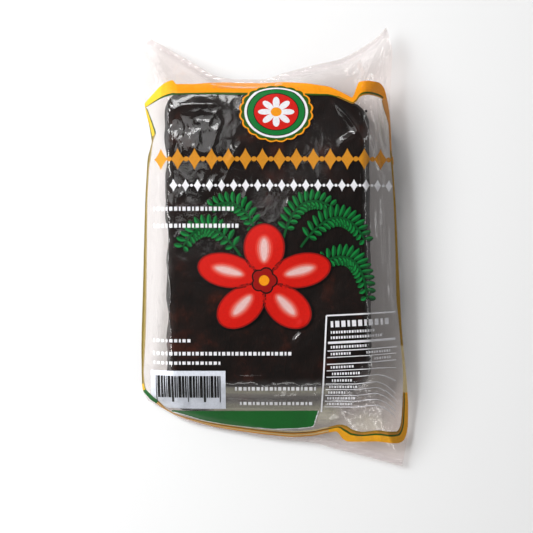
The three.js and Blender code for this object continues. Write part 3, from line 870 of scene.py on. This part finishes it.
class PrintedShapes:
    """Printed shapes of one piece, gathered as grids of points seen from above with an ink per strip."""

    def __init__(self):
        self.points = []
        self.faces = []
        self.inks = []
        self.cells = []

    def strips(self, grid, inks, closed=False):
        """Adds a grid whose rows run along the shape, with an ink for each strip between its columns."""
        grid = np.asarray(grid, float)
        rows, columns = grid.shape[:2]
        first = len(self.points)
        self.points.extend(grid.reshape(-1, 2).tolist())
        for row in range(rows if closed else rows - 1):
            following = (row + 1) % rows
            for column in range(columns - 1):
                a, b = first + row * columns + column, first + following * columns + column
                self.faces.append((a, a + 1, b + 1, b))
                if inks[column] not in self.inks:
                    self.inks.append(inks[column])
                self.cells.append(self.inks.index(inks[column]))

    def rings(self, centre, outlines, inks, around=72, turn=0.0, moved=None):
        """Adds a shape of rings round a centre, turned: each outline is a function of the angle."""
        angles = np.arange(around) * 2 * math.pi / around
        radii = [np.full(around, 1e-3)]
        strip_inks = []
        for outline, ink in zip(outlines, inks):
            edge = np.array([outline(angle) for angle in angles])
            start = radii[-1]
            steps = max(1, int(np.ceil((edge - start).max() / PRINT_STEP)))
            for step in range(1, steps + 1):
                radii.append(start + (edge - start) * step / steps)
                strip_inks.append(ink)
        radii = np.array(radii).T
        direction = np.column_stack([np.cos(angles + turn), np.sin(angles + turn)])
        grid = np.array(centre) + direction[:, None, :] * radii[:, :, None]
        self.strips(grid if moved is None else moved(grid), strip_inks, closed=True)

    def rule(self, line, width, ink):
        """Adds a plain rule along a line."""
        self.ribbon(line, [width] * len(line), [1.0], [ink])

    def ribbon(self, line, widths, shares, inks):
        """Adds a band along a line, split across into strips that end at these shares of its width."""
        line = np.asarray(line, float)
        lengths = lengths_along(line)
        count = max(2, int(lengths[-1] / PRINT_STEP) + 1)
        places = np.linspace(0, lengths[-1], count)
        along = np.column_stack([np.interp(places, lengths, line[:, i]) for i in (0, 1)])
        width = np.interp(places, lengths, widths)
        way = np.gradient(along, axis=0)
        way /= np.maximum(np.linalg.norm(way, axis=1, keepdims=True), 1e-9)
        side = np.column_stack([-way[:, 1], way[:, 0]])
        edges = np.array([0.0, *shares]) - 0.5
        grid = along[:, None, :] + side[:, None, :] * (width[:, None] * edges)[:, :, None]
        self.strips(grid, inks)

    def make(self, name, layer):
        """Lays the shapes on the film and makes the piece."""
        laid = [FilmSurface.lay(x, y, PRINT_LIFT[layer]) for x, y in self.points]
        made = make_object(name, laid, self.faces, [ink_material(ink) for ink in self.inks], self.cells)
        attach(made, "root")
        return made


def closed_curve(stations, step):
    """Rows of a closed loop through the stations, about step apart, and the row of each station."""
    table = np.array(stations)
    ring = np.vstack([table, table[:1]])
    lengths = lengths_along(ring[:, :2])
    count = int(lengths[-1] / step)
    rows = smooth_through(lengths, ring, np.arange(count) * lengths[-1] / count)
    return rows, np.ceil(lengths * count / lengths[-1]).astype(int)


def dashes(shapes, start, end, y, height, length, moved=None):
    """Adds a row of white dashes, every third one short, moved as a function says."""
    short, gap = 0.6 * length, 0.5 * length
    x = start
    i = 0
    while x + length < end:
        size = length if i % 3 else short
        steps = int(size / PRINT_STEP) + 2
        line = np.column_stack([np.linspace(x, x + size, steps), np.full(steps, y)])
        line = line if moved is None else moved(line)
        shapes.rule(line, height, "white")
        x += size + gap
        i += 1


def disc(radius):
    """A round outline."""
    return lambda angle: radius


def lozenge(half_width, half_height):
    """The outline of a lozenge with slightly hollow sides."""
    power = 0.85  # 1 would make the sides straight

    def outline(angle):
        across, along = abs(math.cos(angle)) / half_width, abs(math.sin(angle)) / half_height
        return 1 / (across**power + along**power) ** (1 / power)

    return outline


# ---- Settings -------------------------------------------------------------------------------------


class PacketPulpSettings(bpy.types.PropertyGroup):
    """Look of the block of pulp."""

    dark: FloatVectorProperty(
        name="Dark pulp", description="Colour of most of the face", subtype="COLOR",
        default=linear("#120e0c")[:3], min=0, max=1,
    )
    middle: FloatVectorProperty(
        name="Middle pulp", description="Colour between the dark and the red", subtype="COLOR",
        default=linear("#1b120f")[:3], min=0, max=1,
    )
    red: FloatVectorProperty(
        name="Red pulp", description="Colour of the redder patches", subtype="COLOR",
        default=linear("#371a11")[:3], min=0, max=1,
    )
    relief: FloatProperty(
        name="Relief", description="Height of the lumps on the face", subtype="DISTANCE",
        unit="LENGTH", default=0.45 * MM, min=0, max=2 * MM,
    )


class PacketBagSettings(bpy.types.PropertyGroup):
    """Sizes and look of the film."""

    seal_width: FloatProperty(
        name="Seal width", description="Width of the heat seal at each end", subtype="DISTANCE",
        unit="LENGTH", default=5 * MM, min=1 * MM, max=15 * MM,
    )
    wrinkle: FloatProperty(
        name="Wrinkle", description="Height of the wrinkles, as a share of the usual",
        subtype="FACTOR", default=1.0, min=0, max=2,
    )
    haze: FloatProperty(
        name="Haze", description="Share of the light that the clear film scatters",
        subtype="FACTOR", default=0.003, min=0, max=1,
    )
    seal_haze: FloatProperty(
        name="Seal haze", description="Share of the light that the pressed seals scatter",
        subtype="FACTOR", default=0.15, min=0, max=1,
    )


class PacketStageSettings(bpy.types.PropertyGroup):
    """Camera and light."""

    camera_height: FloatProperty(
        name="Camera height", description="Height of the camera over the floor",
        subtype="DISTANCE", unit="LENGTH", default=0.95, min=0.3, max=3,
    )
    key_power: FloatProperty(
        name="Key light", description="Power of the large light at the upper left", unit="POWER",
        default=20.5, min=0, max=200,
    )
    floor: FloatVectorProperty(
        name="Floor", description="Colour of the floor", subtype="COLOR",
        default=linear("#f4f4f4")[:3], min=0, max=1,
    )


# ---- Operators ------------------------------------------------------------------------------------


class PACKET_OT_bag(bpy.types.Operator):
    """Make the front wall and the back wall of the clear bag"""

    bl_idname = "packet.bag"
    bl_label = "Clear Bag"

    def wrinkled_walls(self, wrinkle):
        """The front wall and the back wall as rows of points, with their creases and wrinkles."""
        front, share = wall_grid(1)
        back, _ = wall_grid(-1)
        fade = ramp(share, 1, 1 - WRINKLE_FADE) * wrinkle
        heights = (crease_heights(front) + crinkles(front, share, 3.0)) * fade
        front += grid_normals(front) * heights[:, :, None]
        heights = np.maximum(crinkles(back, share, 31.0), -BACK_DENT) * fade * (share > 0)
        back -= grid_normals(back) * heights[:, :, None]
        return front, back

    def close(self, front, back, seal):
        """Brings the walls together in the seals and on the rim; they never pass through each other."""
        middle = np.maximum(SEAL_SPACING * 2, (front[:, :, 2] + back[:, :, 2]) / 2)
        front[:, :, 2] += (middle + SEAL_SPACING - front[:, :, 2]) * seal
        back[:, :, 2] += (middle - SEAL_SPACING - back[:, :, 2]) * seal
        back[:, :, 2] = np.maximum(back[:, :, 2], LOWEST_LEVEL)
        front[:, :, 2] = np.maximum(front[:, :, 2], back[:, :, 2] + SEAL_SPACING)
        rim = (front + back) / 2
        for line in (np.s_[0], np.s_[-1], np.s_[:, 0], np.s_[:, -1]):
            front[line] = back[line] = rim[line]

    def execute(self, context):
        settings = context.scene.packet_bag
        front, back = self.wrinkled_walls(settings.wrinkle)
        seal = seal_share(front, settings.seal_width / MM)
        self.close(front, back, seal)
        film = clear_film_material(settings)
        front_wall = wall_object("bag_front", front, film, {"seal": seal, "painted_light": painted_light_share(front)})
        back_wall = wall_object("bag_back", back, film, {"seal": seal, "painted_light": 0 * seal})
        FilmSurface.read(front_wall)
        for wall, node in ((front_wall, "bag_front_wall"), (back_wall, "bag_back_wall")):
            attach(wall, "root")
            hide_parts(node)
        return {"FINISHED"}


class PACKET_OT_pulp_block(bpy.types.Operator):
    """Make the pressed block of pulp, under the film"""

    bl_idname = "packet.pulp_block"
    bl_label = "Pulp Block"

    LUMP_SIZE = 6.5
    FINER_LUMPS = (0.8, 2.2, 4)  # how much lower and finer each next size of lumps is, and how many
    PIT_SIZE = 3.0
    PIT_SHIFT = Vector((0, 0, 17))  # so that the pits lie apart from the lumps
    INWARDS = np.array([0.6, 0.4, 2.5])  # how much of the relief goes along each axis

    def execute(self, context):
        settings = context.scene.packet_pulp
        points, faces = block_surface(BLOCK_CELLS)
        for point in points:
            lumps = noise.fractal(Vector(point) / self.LUMP_SIZE, *self.FINER_LUMPS)
            pits = noise.noise(Vector(point) / self.PIT_SIZE + self.PIT_SHIFT)
            depth = settings.relief / MM * max(0.0, 0.7 - 0.7 * lumps + 0.3 * abs(pits))
            # The relief goes inwards, mostly down, so that the pulp stays inside the film.
            way = (point - BLOCK_MIDDLE) * self.INWARDS
            point -= way / np.linalg.norm(way) * depth
            point[2] = min(point[2], FilmSurface.level_under(point[0], point[1], PULP_CLEARANCE))
            point[2] = max(point[2], BACK_LEVEL + PULP_CLEARANCE)
        made = make_object("tamarind_pulp", points, faces, [pulp_material(settings)])
        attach(made, "root")
        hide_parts("tamarind_block")
        return {"FINISHED"}


class PACKET_OT_print_border(bpy.types.Operator):
    """Print the orange border with its green and pale lines"""

    bl_idname = "packet.print_border"
    bl_label = "Printed Border"

    def execute(self, context):
        stations = [station for part in BORDER.values() for station in part]
        rows, row_of = closed_curve(stations, PRINT_STEP)
        shapes = PrintedShapes()
        first = 0
        for name, part in BORDER.items():
            last = first + len(part)
            ends = np.arange(row_of[first], row_of[last] + 1) % len(rows)
            outer, inner = rows[ends, :2], rows[ends, 2:]
            shares, inks = BORDER_STRIPS[name]
            shares = np.array([0.0, *shares])
            grid = outer[:, None, :] + (inner - outer)[:, None, :] * shares[None, :, None]
            shapes.strips(grid, inks)
            first = last
        shapes.make("print_border", "middle")
        return {"FINISHED"}


class PACKET_OT_print_ornaments(bpy.types.Operator):
    """Print the rosette, the two rows of lozenges and the dashed rules"""

    bl_idname = "packet.print_ornaments"
    bl_label = "Printed Ornaments"

    ROSETTE = (0.6, 63.0)
    STRETCH = (1.16, 0.95)  # it is wider than it is high
    FILM_TURNS = 72.0  # the y from which the film turns down over the block's end
    TURN_LOSS = 0.3  # how much of a length is lost to the view past that, as the film slopes
    VENT_HOLES = [(32.4, 63.0), (42.4, 63.4)]
    VENT_RADIUS = 0.6
    # Rows of lozenges: ink, count, spacing, start, half width and half height, radius of the dots.
    LOZENGES = {
        "print_lozenges": ("title_orange", 15, 7.9, (-53.2, 41.1), (3.3, 5.0), 1.2),
        "print_small_lozenges": ("white", 19, 5.6, (-47.2, 28.8), (1.9, 2.9), 0.7),
    }
    DASH = 1.5  # length of the longer dashes
    # Dashed rules: start x, end x, y, height of the dashes.
    DASHED = [
        (-57.0, -17.6, 17.9, 1.9),
        (-57.0, -16.4, 10.0, 1.9),
        (-57.0, -38.6, -43.6, 1.5),
        (-57.0, 9.2, -49.6, 1.7),
        (-57.0, -24.4, -54.0, 1.5),
        (-18.6, 21.4, -66.0, 1.7),
        (-16.4, 18.8, -73.2, 1.5),
    ]

    def oval(self, points):
        """Stretches the rosette, and lets its top follow the film down over the end."""
        points = (np.array(points) - self.ROSETTE) * self.STRETCH + self.ROSETTE
        points[..., 1] -= self.TURN_LOSS * np.maximum(0, points[..., 1] - self.FILM_TURNS)
        return points

    def add_rosette(self):
        """The rosette: rings round an eight-petalled flower, with a scalloped rim."""

        def scalloped(radius):
            return lambda angle: radius * (0.95 + 0.05 * abs(math.sin(10 * angle)))

        rings = [
            (disc(2.2), "orange"),
            (lambda angle: 2.5 + 4.8 * abs(math.cos(4 * angle)) ** 0.8, "white"),
            (disc(8.8), "red"),
            (disc(9.2), "black"),
            (disc(11.4), "green"),
            (disc(11.8), "black"),
            (disc(12.8), "white"),
            (scalloped(14.3), "dark_green"),
            (scalloped(15.0), "orange"),
        ]
        shapes = PrintedShapes()
        shapes.rings(self.ROSETTE, *zip(*rings), around=240, moved=self.oval)
        shapes.make("print_rosette", "top")

    def add_vent_holes(self):
        """Two punched air holes at the upper right: each is a black disc printed on the film, the dark
        pulp and painted shade of the gap in place of an open hole.
        """
        shapes = PrintedShapes()
        for place in self.VENT_HOLES:
            shapes.rings(place, [disc(self.VENT_RADIUS)], ["black"], around=16)
        shapes.make("vent_holes", "top")

    def add_lozenges(self, name, ink, count, spacing, start, size, dot):
        """A row of lozenges with a dot between each two."""
        shapes = PrintedShapes()
        x, y = start
        for i in range(count):
            shapes.rings((x + i * spacing, y), [lozenge(*size)], [ink], around=32)
            if i < count - 1:
                shapes.rings((x + (i + 0.5) * spacing, y), [disc(dot)], [ink], around=16)
        shapes.make(name, "middle")

    def execute(self, context):
        self.add_rosette()
        self.add_vent_holes()
        for name, row in self.LOZENGES.items():
            self.add_lozenges(name, *row)
        rules = PrintedShapes()
        for start, end, y, height in self.DASHED:
            dashes(rules, start, end, y, height, self.DASH)
        rules.make("print_dashed_rules", "middle")
        return {"FINISHED"}


class PACKET_OT_print_picture(bpy.types.Operator):
    """Print a red flower between feathery green fronds"""

    bl_idname = "packet.print_picture"
    bl_label = "Printed Flower and Fronds"

    FLOWER = (-5.0, -15.5)
    STRETCH = (1.18, 0.97)  # it is wider than it is high
    PETALS = 5
    PETAL_PLACE = 14.2  # from the middle of the flower to the middle of a petal
    PETAL_SIZE = (12.4, 8.5)  # half its length and half its width
    # A petal's rings, from its bright middle outwards: how far each is drawn in, and its ink.
    PETAL_RINGS = [
        (7.9, "pink"), (7.3, "pink"), (6.6, "rose"), (5.8, "coral"), (5.0, "light_red"),
        (1.1, "red"), (0.45, "deep_red"), (0.0, "black"),
    ]
    # Fronds: start, bend and tip of the stalk, pairs of leaflets and their length.
    FRONDS = [
        ((-16, -4), (-32, 20), (-43, 0), 13, 5.6),
        ((-8, 4), (-14, 26), (-29, 19), 11, 5.0),
        ((4, 4), (10, 28), (26, 19), 12, 5.2),
        ((12, 0), (30, 26), (42, 3), 15, 5.6),
        ((18, -10), (40, 6), (43, -24), 15, 5.6),
    ]
    STALK_WIDTHS = [1.1] * 22 + [0.9, 0.5]  # from its start to its tip
    LEAFLET_LEAN = math.radians(58)  # from the stalk
    INNER_LEAFLET = 0.72  # the length of a leaflet inside the bend, as a share of one outside it
    # A leaflet has a dark half and a light half between dark outlines.
    LEAFLET_STRIPS = ([0.1, 0.5, 0.9, 1.0], ["black", "leaf_dark", "leaf_light", "black"])

    @staticmethod
    def on_stalk(stalk, t):
        """The place on a stalk, from 0 at its start to 1 at its tip."""
        start, bend, tip = (np.array(point, float) for point in stalk)
        return (1 - t) ** 2 * start + 2 * t * (1 - t) * bend + t * t * tip

    def leaflet(self, shapes, base, way, hand, size):
        """Adds a leaflet that leans off the stalk's way to one hand and bends back a little."""
        lean = self.LEAFLET_LEAN * hand
        turn = np.array([[math.cos(lean), -math.sin(lean)], [math.sin(lean), math.cos(lean)]])
        steps = np.linspace(0, 1, 8)
        line = [base + turn @ way * (0.7 + size * s) - way * 0.225 * size * s * s for s in steps]
        widths = [0.25 + 2.5 * math.sin(math.pi * (0.06 + 0.9 * s)) ** 0.7 for s in steps]
        shapes.ribbon(line, widths, *self.LEAFLET_STRIPS)

    def frond(self, shapes, start, bend, tip, pairs, length):
        """Adds one frond: a stalk on a bent line with a pair of leaflets at each step."""
        stalk = (start, bend, tip)
        line = [self.on_stalk(stalk, t) for t in np.linspace(0, 1, len(self.STALK_WIDTHS))]
        shapes.ribbon(line, self.STALK_WIDTHS, [1.0], ["leaf_dark"])
        (x_in, y_in), (x_out, y_out) = np.subtract(bend, start), np.subtract(tip, bend)
        inside = math.copysign(1, x_in * y_out - y_in * x_out)
        for t in np.linspace(0.1, 0.98, pairs):
            way = self.on_stalk(stalk, min(1, t + 0.02)) - self.on_stalk(stalk, t - 0.02)
            way /= np.linalg.norm(way)
            # The leaflets are longest at the middle of the stalk.
            full = length * (0.55 + 0.6 * math.sin(math.pi * (0.12 + 0.8 * t)))
            for hand in (1, -1):
                size = full * (self.INNER_LEAFLET if hand == inside else 1.0)
                self.leaflet(shapes, self.on_stalk(stalk, t), way, hand, size)

    def petal(self, inset):
        """The egg-shaped outline of a petal, drawn in by an inset."""
        long, wide = (size - inset for size in self.PETAL_SIZE)

        def outline(angle):
            oval = long * wide / math.hypot(wide * math.cos(angle), long * math.sin(angle))
            return oval * (1 + 0.10 * math.cos(angle))

        return outline

    def widened(self, points):
        """Stretches the flower."""
        return (np.array(points) - self.FLOWER) * self.STRETCH + self.FLOWER

    def add_flower(self):
        """The petals, shaded from a bright middle to a dark edge, and the five-lobed heart over them."""
        flower = PrintedShapes()
        outlines = [self.petal(inset) for inset, _ in self.PETAL_RINGS]
        inks = [ink for _, ink in self.PETAL_RINGS]
        for i in range(self.PETALS):
            angle = math.radians(90 + 360 / self.PETALS * i)
            way = np.array([math.cos(angle), math.sin(angle)])
            centre = self.FLOWER + self.PETAL_PLACE * way
            flower.rings(centre, outlines, inks, around=96, turn=angle, moved=self.widened)
        flower.make("print_flower", "middle")

        def lobed(radius):
            return lambda angle: radius + 1.1 * abs(math.cos(self.PETALS / 2 * angle))

        heart = PrintedShapes()
        outlines = [disc(2.4), lobed(4.6), lobed(5.3)]
        heart.rings(self.FLOWER, outlines, ["orange", "deep_red", "black"], around=90)
        heart.make("print_flower_heart", "top")

    def execute(self, context):
        fronds = PrintedShapes()
        for frond in self.FRONDS:
            self.frond(fronds, *frond)
        fronds.make("print_fronds", "under")
        self.add_flower()
        return {"FINISHED"}


class PACKET_OT_print_panels(bpy.types.Operator):
    """Print the white panel with bars, the ruled outline and the green band"""

    bl_idname = "packet.print_panels"
    bl_label = "Printed Panels"

    OUTLINE_TOP = (24.0, -31.9)
    OUTLINE_FOOT = (21.9, -77.4)
    OUTLINE_RIGHT = 57.4
    OUTLINE_WIDTH = 0.75
    RULE_INSET = 1.3  # of the rules inside the outline, from its left side
    # Rules of the outline, from its top side down: y and thickness.
    RULES = [
        (-31.9, 0.7), (-44.6, 1.1), (-48.4, 0.5), (-51.4, 0.4), (-54.6, 0.5), (-57.6, 0.4),
        (-60.5, 0.4), (-63.7, 0.4), (-66.4, 0.4), (-69.2, 0.4), (-72.0, 0.4), (-74.8, 0.4),
    ]
    # Rows of dashes: start x, end x, y and height.
    ROWS = [
        (26.0, 55.0, -36.0, 2.9), (26.0, 46.4, -39.8, 1.2), (26.0, 51.2, -42.3, 1.2),
        (26.0, 44.0, -46.7, 1.2), (26.0, 36.0, -49.9, 1.1), (42.6, 55.0, -49.9, 1.1),
        (46.4, 55.6, -53.0, 1.1), (26.0, 37.0, -56.1, 1.1), (26.6, 39.6, -59.1, 1.1),
        (26.6, 36.2, -62.1, 1.1), (25.4, 39.0, -65.1, 1.1), (25.0, 33.4, -67.8, 1.1),
        (24.6, 38.0, -70.6, 1.1), (24.4, 36.8, -73.4, 1.1),
    ]

    HEADING_DASH, ROW_DASH = 1.9, 0.9  # lengths of the longer dashes
    RULE_RISE = 0.05  # how far a rule rises for each unit of its length, over the gathered film
    # How far the gathered film carries the print up or down, by x.
    GATHERED = {38.0: 0.0, 44.0: 0.7, 48.0: 0.9, 52.0: -0.9, 56.0: -4.2, 58.0: -6.4}
    GATHERED_FROM = (-57.0, -63.0)  # the y where that begins and the y from which it is full

    PANEL_LEFT, PANEL_RIGHT, PANEL_TOP = -58.4, -23.0, -57.6
    PANEL_FOOT = {-58.4: -71.2, -51.0: -76.0}  # its foot's y by x: its outer corner follows the bag's
    PANEL_LINES = (45, 24)  # grid lines across and along, close enough to lie on the film
    BARS = 25
    BARS_START, BARS_TOP, BARS_FOOT, LONG_BARS_FOOT = -55.8, -60.0, -70.4, -72.6
    BAR_GAP = 0.4

    # The green band's upper and lower edge: y by x.
    BAND_TOP = {-48.0: -77.2, -10.0: -76.9, 20.0: -76.7}
    BAND_FOOT = {
        -48.8: -77.9, -42.0: -79.5, -33.0: -82.2, -23.0: -83.9, -12.0: -85.2, 0.0: -86.0,
        12.0: -85.5, 20.0: -84.6,
    }
    BAND_LEFT, BAND_RIGHT = -48.8, 20.6
    BAND_SLANT = 2.4  # how far its right end leans in at its foot
    SLANT_START = 12.0  # the x from which it leans
    BAND_LINES = (87, 10)

    @staticmethod
    def through(line, x):
        """The y of a line of straight stretches, given as y by x."""
        return np.interp(x, list(line), list(line.values()))

    def pulled(self, points):
        """Shifts points near the lower right corner as the gathered film carries the print."""
        points = np.array(points, float)
        x, y = points[..., 0], points[..., 1]
        depth = ramp(y, *self.GATHERED_FROM)
        rise = self.RULE_RISE * np.maximum(x - self.OUTLINE_TOP[0], 0) * (1 - depth)
        points[..., 1] = y + self.through(self.GATHERED, x) * depth + rise
        return points

    def left_of_outline(self, y):
        """The outline's left side at a height."""
        (top_x, top_y), (foot_x, foot_y) = self.OUTLINE_TOP, self.OUTLINE_FOOT
        return foot_x + (top_x - foot_x) * (y - foot_y) / (top_y - foot_y)

    def add_ruled_outline(self):
        """The outline, its rules and its rows of dashes."""
        shapes = PrintedShapes()
        shapes.rule([self.OUTLINE_FOOT, self.OUTLINE_TOP], self.OUTLINE_WIDTH, "white")
        for i, (y, thickness) in enumerate(self.RULES):
            start = self.left_of_outline(y) + (self.RULE_INSET if i else 0.0)
            x = np.arange(start, self.OUTLINE_RIGHT, PRINT_STEP)
            line = np.column_stack([x, np.full(len(x), y)])
            shapes.rule(self.pulled(line), thickness, "white")
        for i, (start, end, y, height) in enumerate(self.ROWS):
            length = self.ROW_DASH if i else self.HEADING_DASH
            dashes(shapes, start, end, y, height, length, self.pulled)
        shapes.make("print_ruled_outline", "middle")

    def add_white_panel(self):
        """The white panel and its bars, which count nothing."""
        panel = PrintedShapes()
        x = np.linspace(self.PANEL_LEFT, self.PANEL_RIGHT, self.PANEL_LINES[0])
        foot = self.through(self.PANEL_FOOT, x)
        shares = np.linspace(0, 1, self.PANEL_LINES[1])
        rows = [np.column_stack([x, foot + (self.PANEL_TOP - foot) * share]) for share in shares]
        panel.strips(rows, ["panel_white"] * (len(x) - 1))
        panel.make("print_white_panel", "under")
        bars = PrintedShapes()
        left = self.BARS_START
        for i in range(self.BARS):
            width = 0.4 + 0.3 * ((i * 3) % 4)
            middle = left + width / 2
            foot = self.BARS_FOOT if i % 6 else self.LONG_BARS_FOOT
            bars.rule([(middle, foot), (middle, self.BARS_TOP)], width, "black")
            left += width + self.BAR_GAP
        bars.make("print_bars", "top")

    def add_green_band(self):
        """The dark green band along the foot, with a pale edge below it and at its slanted end."""
        x = np.linspace(self.BAND_LEFT, self.BAND_RIGHT, self.BAND_LINES[0])
        top, foot = self.through(self.BAND_TOP, x), self.through(self.BAND_FOOT, x)
        slant = self.BAND_SLANT * ramp(x, self.SLANT_START, self.BAND_RIGHT) ** 2
        shares = np.linspace(0, 1, self.BAND_LINES[1])
        rows = [np.column_stack([x - slant * share, top + (foot - top) * share]) for share in shares]
        shapes = PrintedShapes()
        shapes.strips(np.stack(rows, axis=1), ["band_green"] * (len(shares) - 1))
        shapes.rule([row[-1] for row in rows], 0.5, "white")
        shapes.rule(rows[-1], 0.35, "white")
        shapes.make("print_green_band", "middle")

    def execute(self, context):
        self.add_white_panel()
        self.add_ruled_outline()
        self.add_green_band()
        return {"FINISHED"}


class PACKET_OT_stage(bpy.types.Operator):
    """Make the floor, the lights, the surroundings and the camera"""

    bl_idname = "packet.stage"
    bl_label = "Stage"

    AIM = (-3.9, -9.0, 8.0)
    PICTURE = 533  # pixels across the picture
    PIXEL = 0.473  # millimetres that a pixel covers at the level of the aim
    SENSOR = 36.0
    FLOOR = [(-2500, -2500), (2500, -2500), (2500, 2500), (-2500, 2500)]
    FLOOR_LEVEL = -0.05  # just under the packet

    # The lamp and the cards: place, size across and along, both in metres, and power.
    KEY = ((-0.84, 0.34, 0.74), (0.8, 0.6))
    CARDS = {
        "spark_card": ((-0.42, 0.38, 0.85), (0.26, 0.20), 2.4),
        "side_strip": ((-0.72, -0.02, 0.58), (0.26, 0.10), 0.9),
        "left_card": ((-1.10, 0.0, 0.30), (1.2, 0.5), 2.1),
        "ear_card": ((-0.62, 0.92, 0.22), (0.9, 0.36), 1.4),
        "foot_strip": ((-0.10, -0.85, 0.62), (0.5, 0.12), 0.5),
        "right_strip": ((0.72, 0.0, 0.50), (0.9, 0.08), 0.7),
        "corner_strip": ((0.42, -0.80, 0.60), (0.5, 0.10), 1.0),
    }
    # These face straight down, and the film at the face's upper left mirrors them upwards.
    HANGING_CARDS = {
        "window_card": ((-0.185, 0.225, 0.97), (0.30, 0.30), 0.36),
        "window_edge": ((-0.16, 0.34, 0.95), (0.27, 0.16), 1.0),
    }
    # How bright the room is, from the horizon and below, at 0, to straight above, at 1.
    ROOM = {0.0: 0.30, 0.15: 0.46, 0.5: 0.40, 0.8: 0.18, 0.93: 0.04, 1.0: 0.015}

    def light(self, name, place, size, power, target):
        """Adds a rectangular light that faces a point; lengths here are metres."""
        data = bpy.data.lights.new(name, "AREA")
        data.shape = "RECTANGLE"
        data.size, data.size_y = size
        data.energy = power
        made = bpy.data.objects.new(name, data)
        made.location = place
        made.rotation_euler = (Vector(target) - Vector(place)).to_track_quat("-Z", "Y").to_euler()
        made.visible_camera = False
        bpy.context.scene.collection.objects.link(made)
        return made

    def add_floor(self, colour):
        """The floor."""
        material, tree = new_material("Matt white paper, rolled out")
        matt = {"Base Color": opaque(colour), "Roughness": 0.9, "Specular IOR Level": 0.1}
        surface = add_node(tree, "BsdfPrincipled", matt).outputs[0]
        add_node(tree, "OutputMaterial", {"Surface": surface})
        corners = [(x, y, self.FLOOR_LEVEL) for x, y in self.FLOOR]
        make_object("floor", corners, [(0, 1, 2, 3)], [material], smooth=False)

    def add_lights(self, key_power):
        """A large lamp that lights everything, and cards that are only mirrored by the film."""
        target = Vector(self.AIM) * MM
        self.light("key_light", *self.KEY, key_power, target).visible_glossy = False
        for name, card in self.CARDS.items():
            self.light(name, *card, target).visible_diffuse = False
        for name, card in self.HANGING_CARDS.items():
            below = (*card[0][:2], 0.0)
            self.light(name, *card, below).visible_diffuse = False

    def add_room(self, scene):
        """The room all round: pale low down, where the sides of things mirror it, and dark overhead."""
        world = bpy.data.worlds.new("Studio room")
        world.use_nodes = True
        tree = world.node_tree
        tree.nodes.clear()
        direction = add_node(tree, "TexCoord").outputs["Generated"]
        height = add_node(tree, "SeparateXYZ", {0: direction}).outputs["Z"]
        stops = [(place, grey(tone)) for place, tone in self.ROOM.items()]
        tone = add_node(tree, "ValToRGB", {"Fac": height}, stops=stops).outputs["Color"]
        back = add_node(tree, "Background", {"Color": tone}).outputs[0]
        add_node(tree, "OutputWorld", {"Surface": back})
        scene.world = world

    def add_camera(self, scene, height):
        """A camera that looks straight down."""
        data = bpy.data.cameras.new("camera")
        data.sensor_width = self.SENSOR
        x, y, level = (part * MM for part in self.AIM)
        data.lens = self.SENSOR * (height - level) / (self.PICTURE * self.PIXEL * MM)
        data.clip_end = 20
        camera = bpy.data.objects.new("camera", data)
        camera.location = (x, y, height)
        scene.collection.objects.link(camera)
        scene.camera = camera
        scene.view_settings.view_transform = "Standard"

    def execute(self, context):
        settings = context.scene.packet_stage
        self.add_floor(settings.floor)
        self.add_lights(settings.key_power)
        self.add_room(context.scene)
        self.add_camera(context.scene, settings.camera_height)
        return {"FINISHED"}


class PACKET_PT_panel(bpy.types.Panel):
    """Lists the pieces of the packet."""

    bl_idname = "PACKET_PT_panel"
    bl_label = "Tamarind Packet"
    bl_space_type = "VIEW_3D"
    bl_region_type = "UI"
    bl_category = "Packet"

    def draw(self, context):
        layout = self.layout
        for group, settings in SETTINGS.items():
            box = layout.box()
            holder = getattr(context.scene, group)
            for name in settings.__annotations__:
                box.prop(holder, name)
        for operator in OPERATORS:
            layout.operator(operator.bl_idname)


SETTINGS = {
    "packet_pulp": PacketPulpSettings,
    "packet_bag": PacketBagSettings,
    "packet_stage": PacketStageSettings,
}
OPERATORS = (
    PACKET_OT_stage,
    PACKET_OT_bag,
    PACKET_OT_pulp_block,
    PACKET_OT_print_border,
    PACKET_OT_print_ornaments,
    PACKET_OT_print_picture,
    PACKET_OT_print_panels,
)


def register():
    """Registers the settings, the operators and the panel."""
    for cls in (*SETTINGS.values(), *OPERATORS, PACKET_PT_panel):
        bpy.utils.register_class(cls)
    for name, settings in SETTINGS.items():
        setattr(bpy.types.Scene, name, PointerProperty(type=settings))


def unregister():
    """Removes what register added."""
    for name in SETTINGS:
        delattr(bpy.types.Scene, name)
    for cls in (PACKET_PT_panel, *reversed(OPERATORS), *SETTINGS.values()):
        bpy.utils.unregister_class(cls)


def main():
    register()
    for operator in OPERATORS:
        group, name = operator.bl_idname.split(".")
        getattr(getattr(bpy.ops, group), name)()


if __name__ == "__main__":
    main()
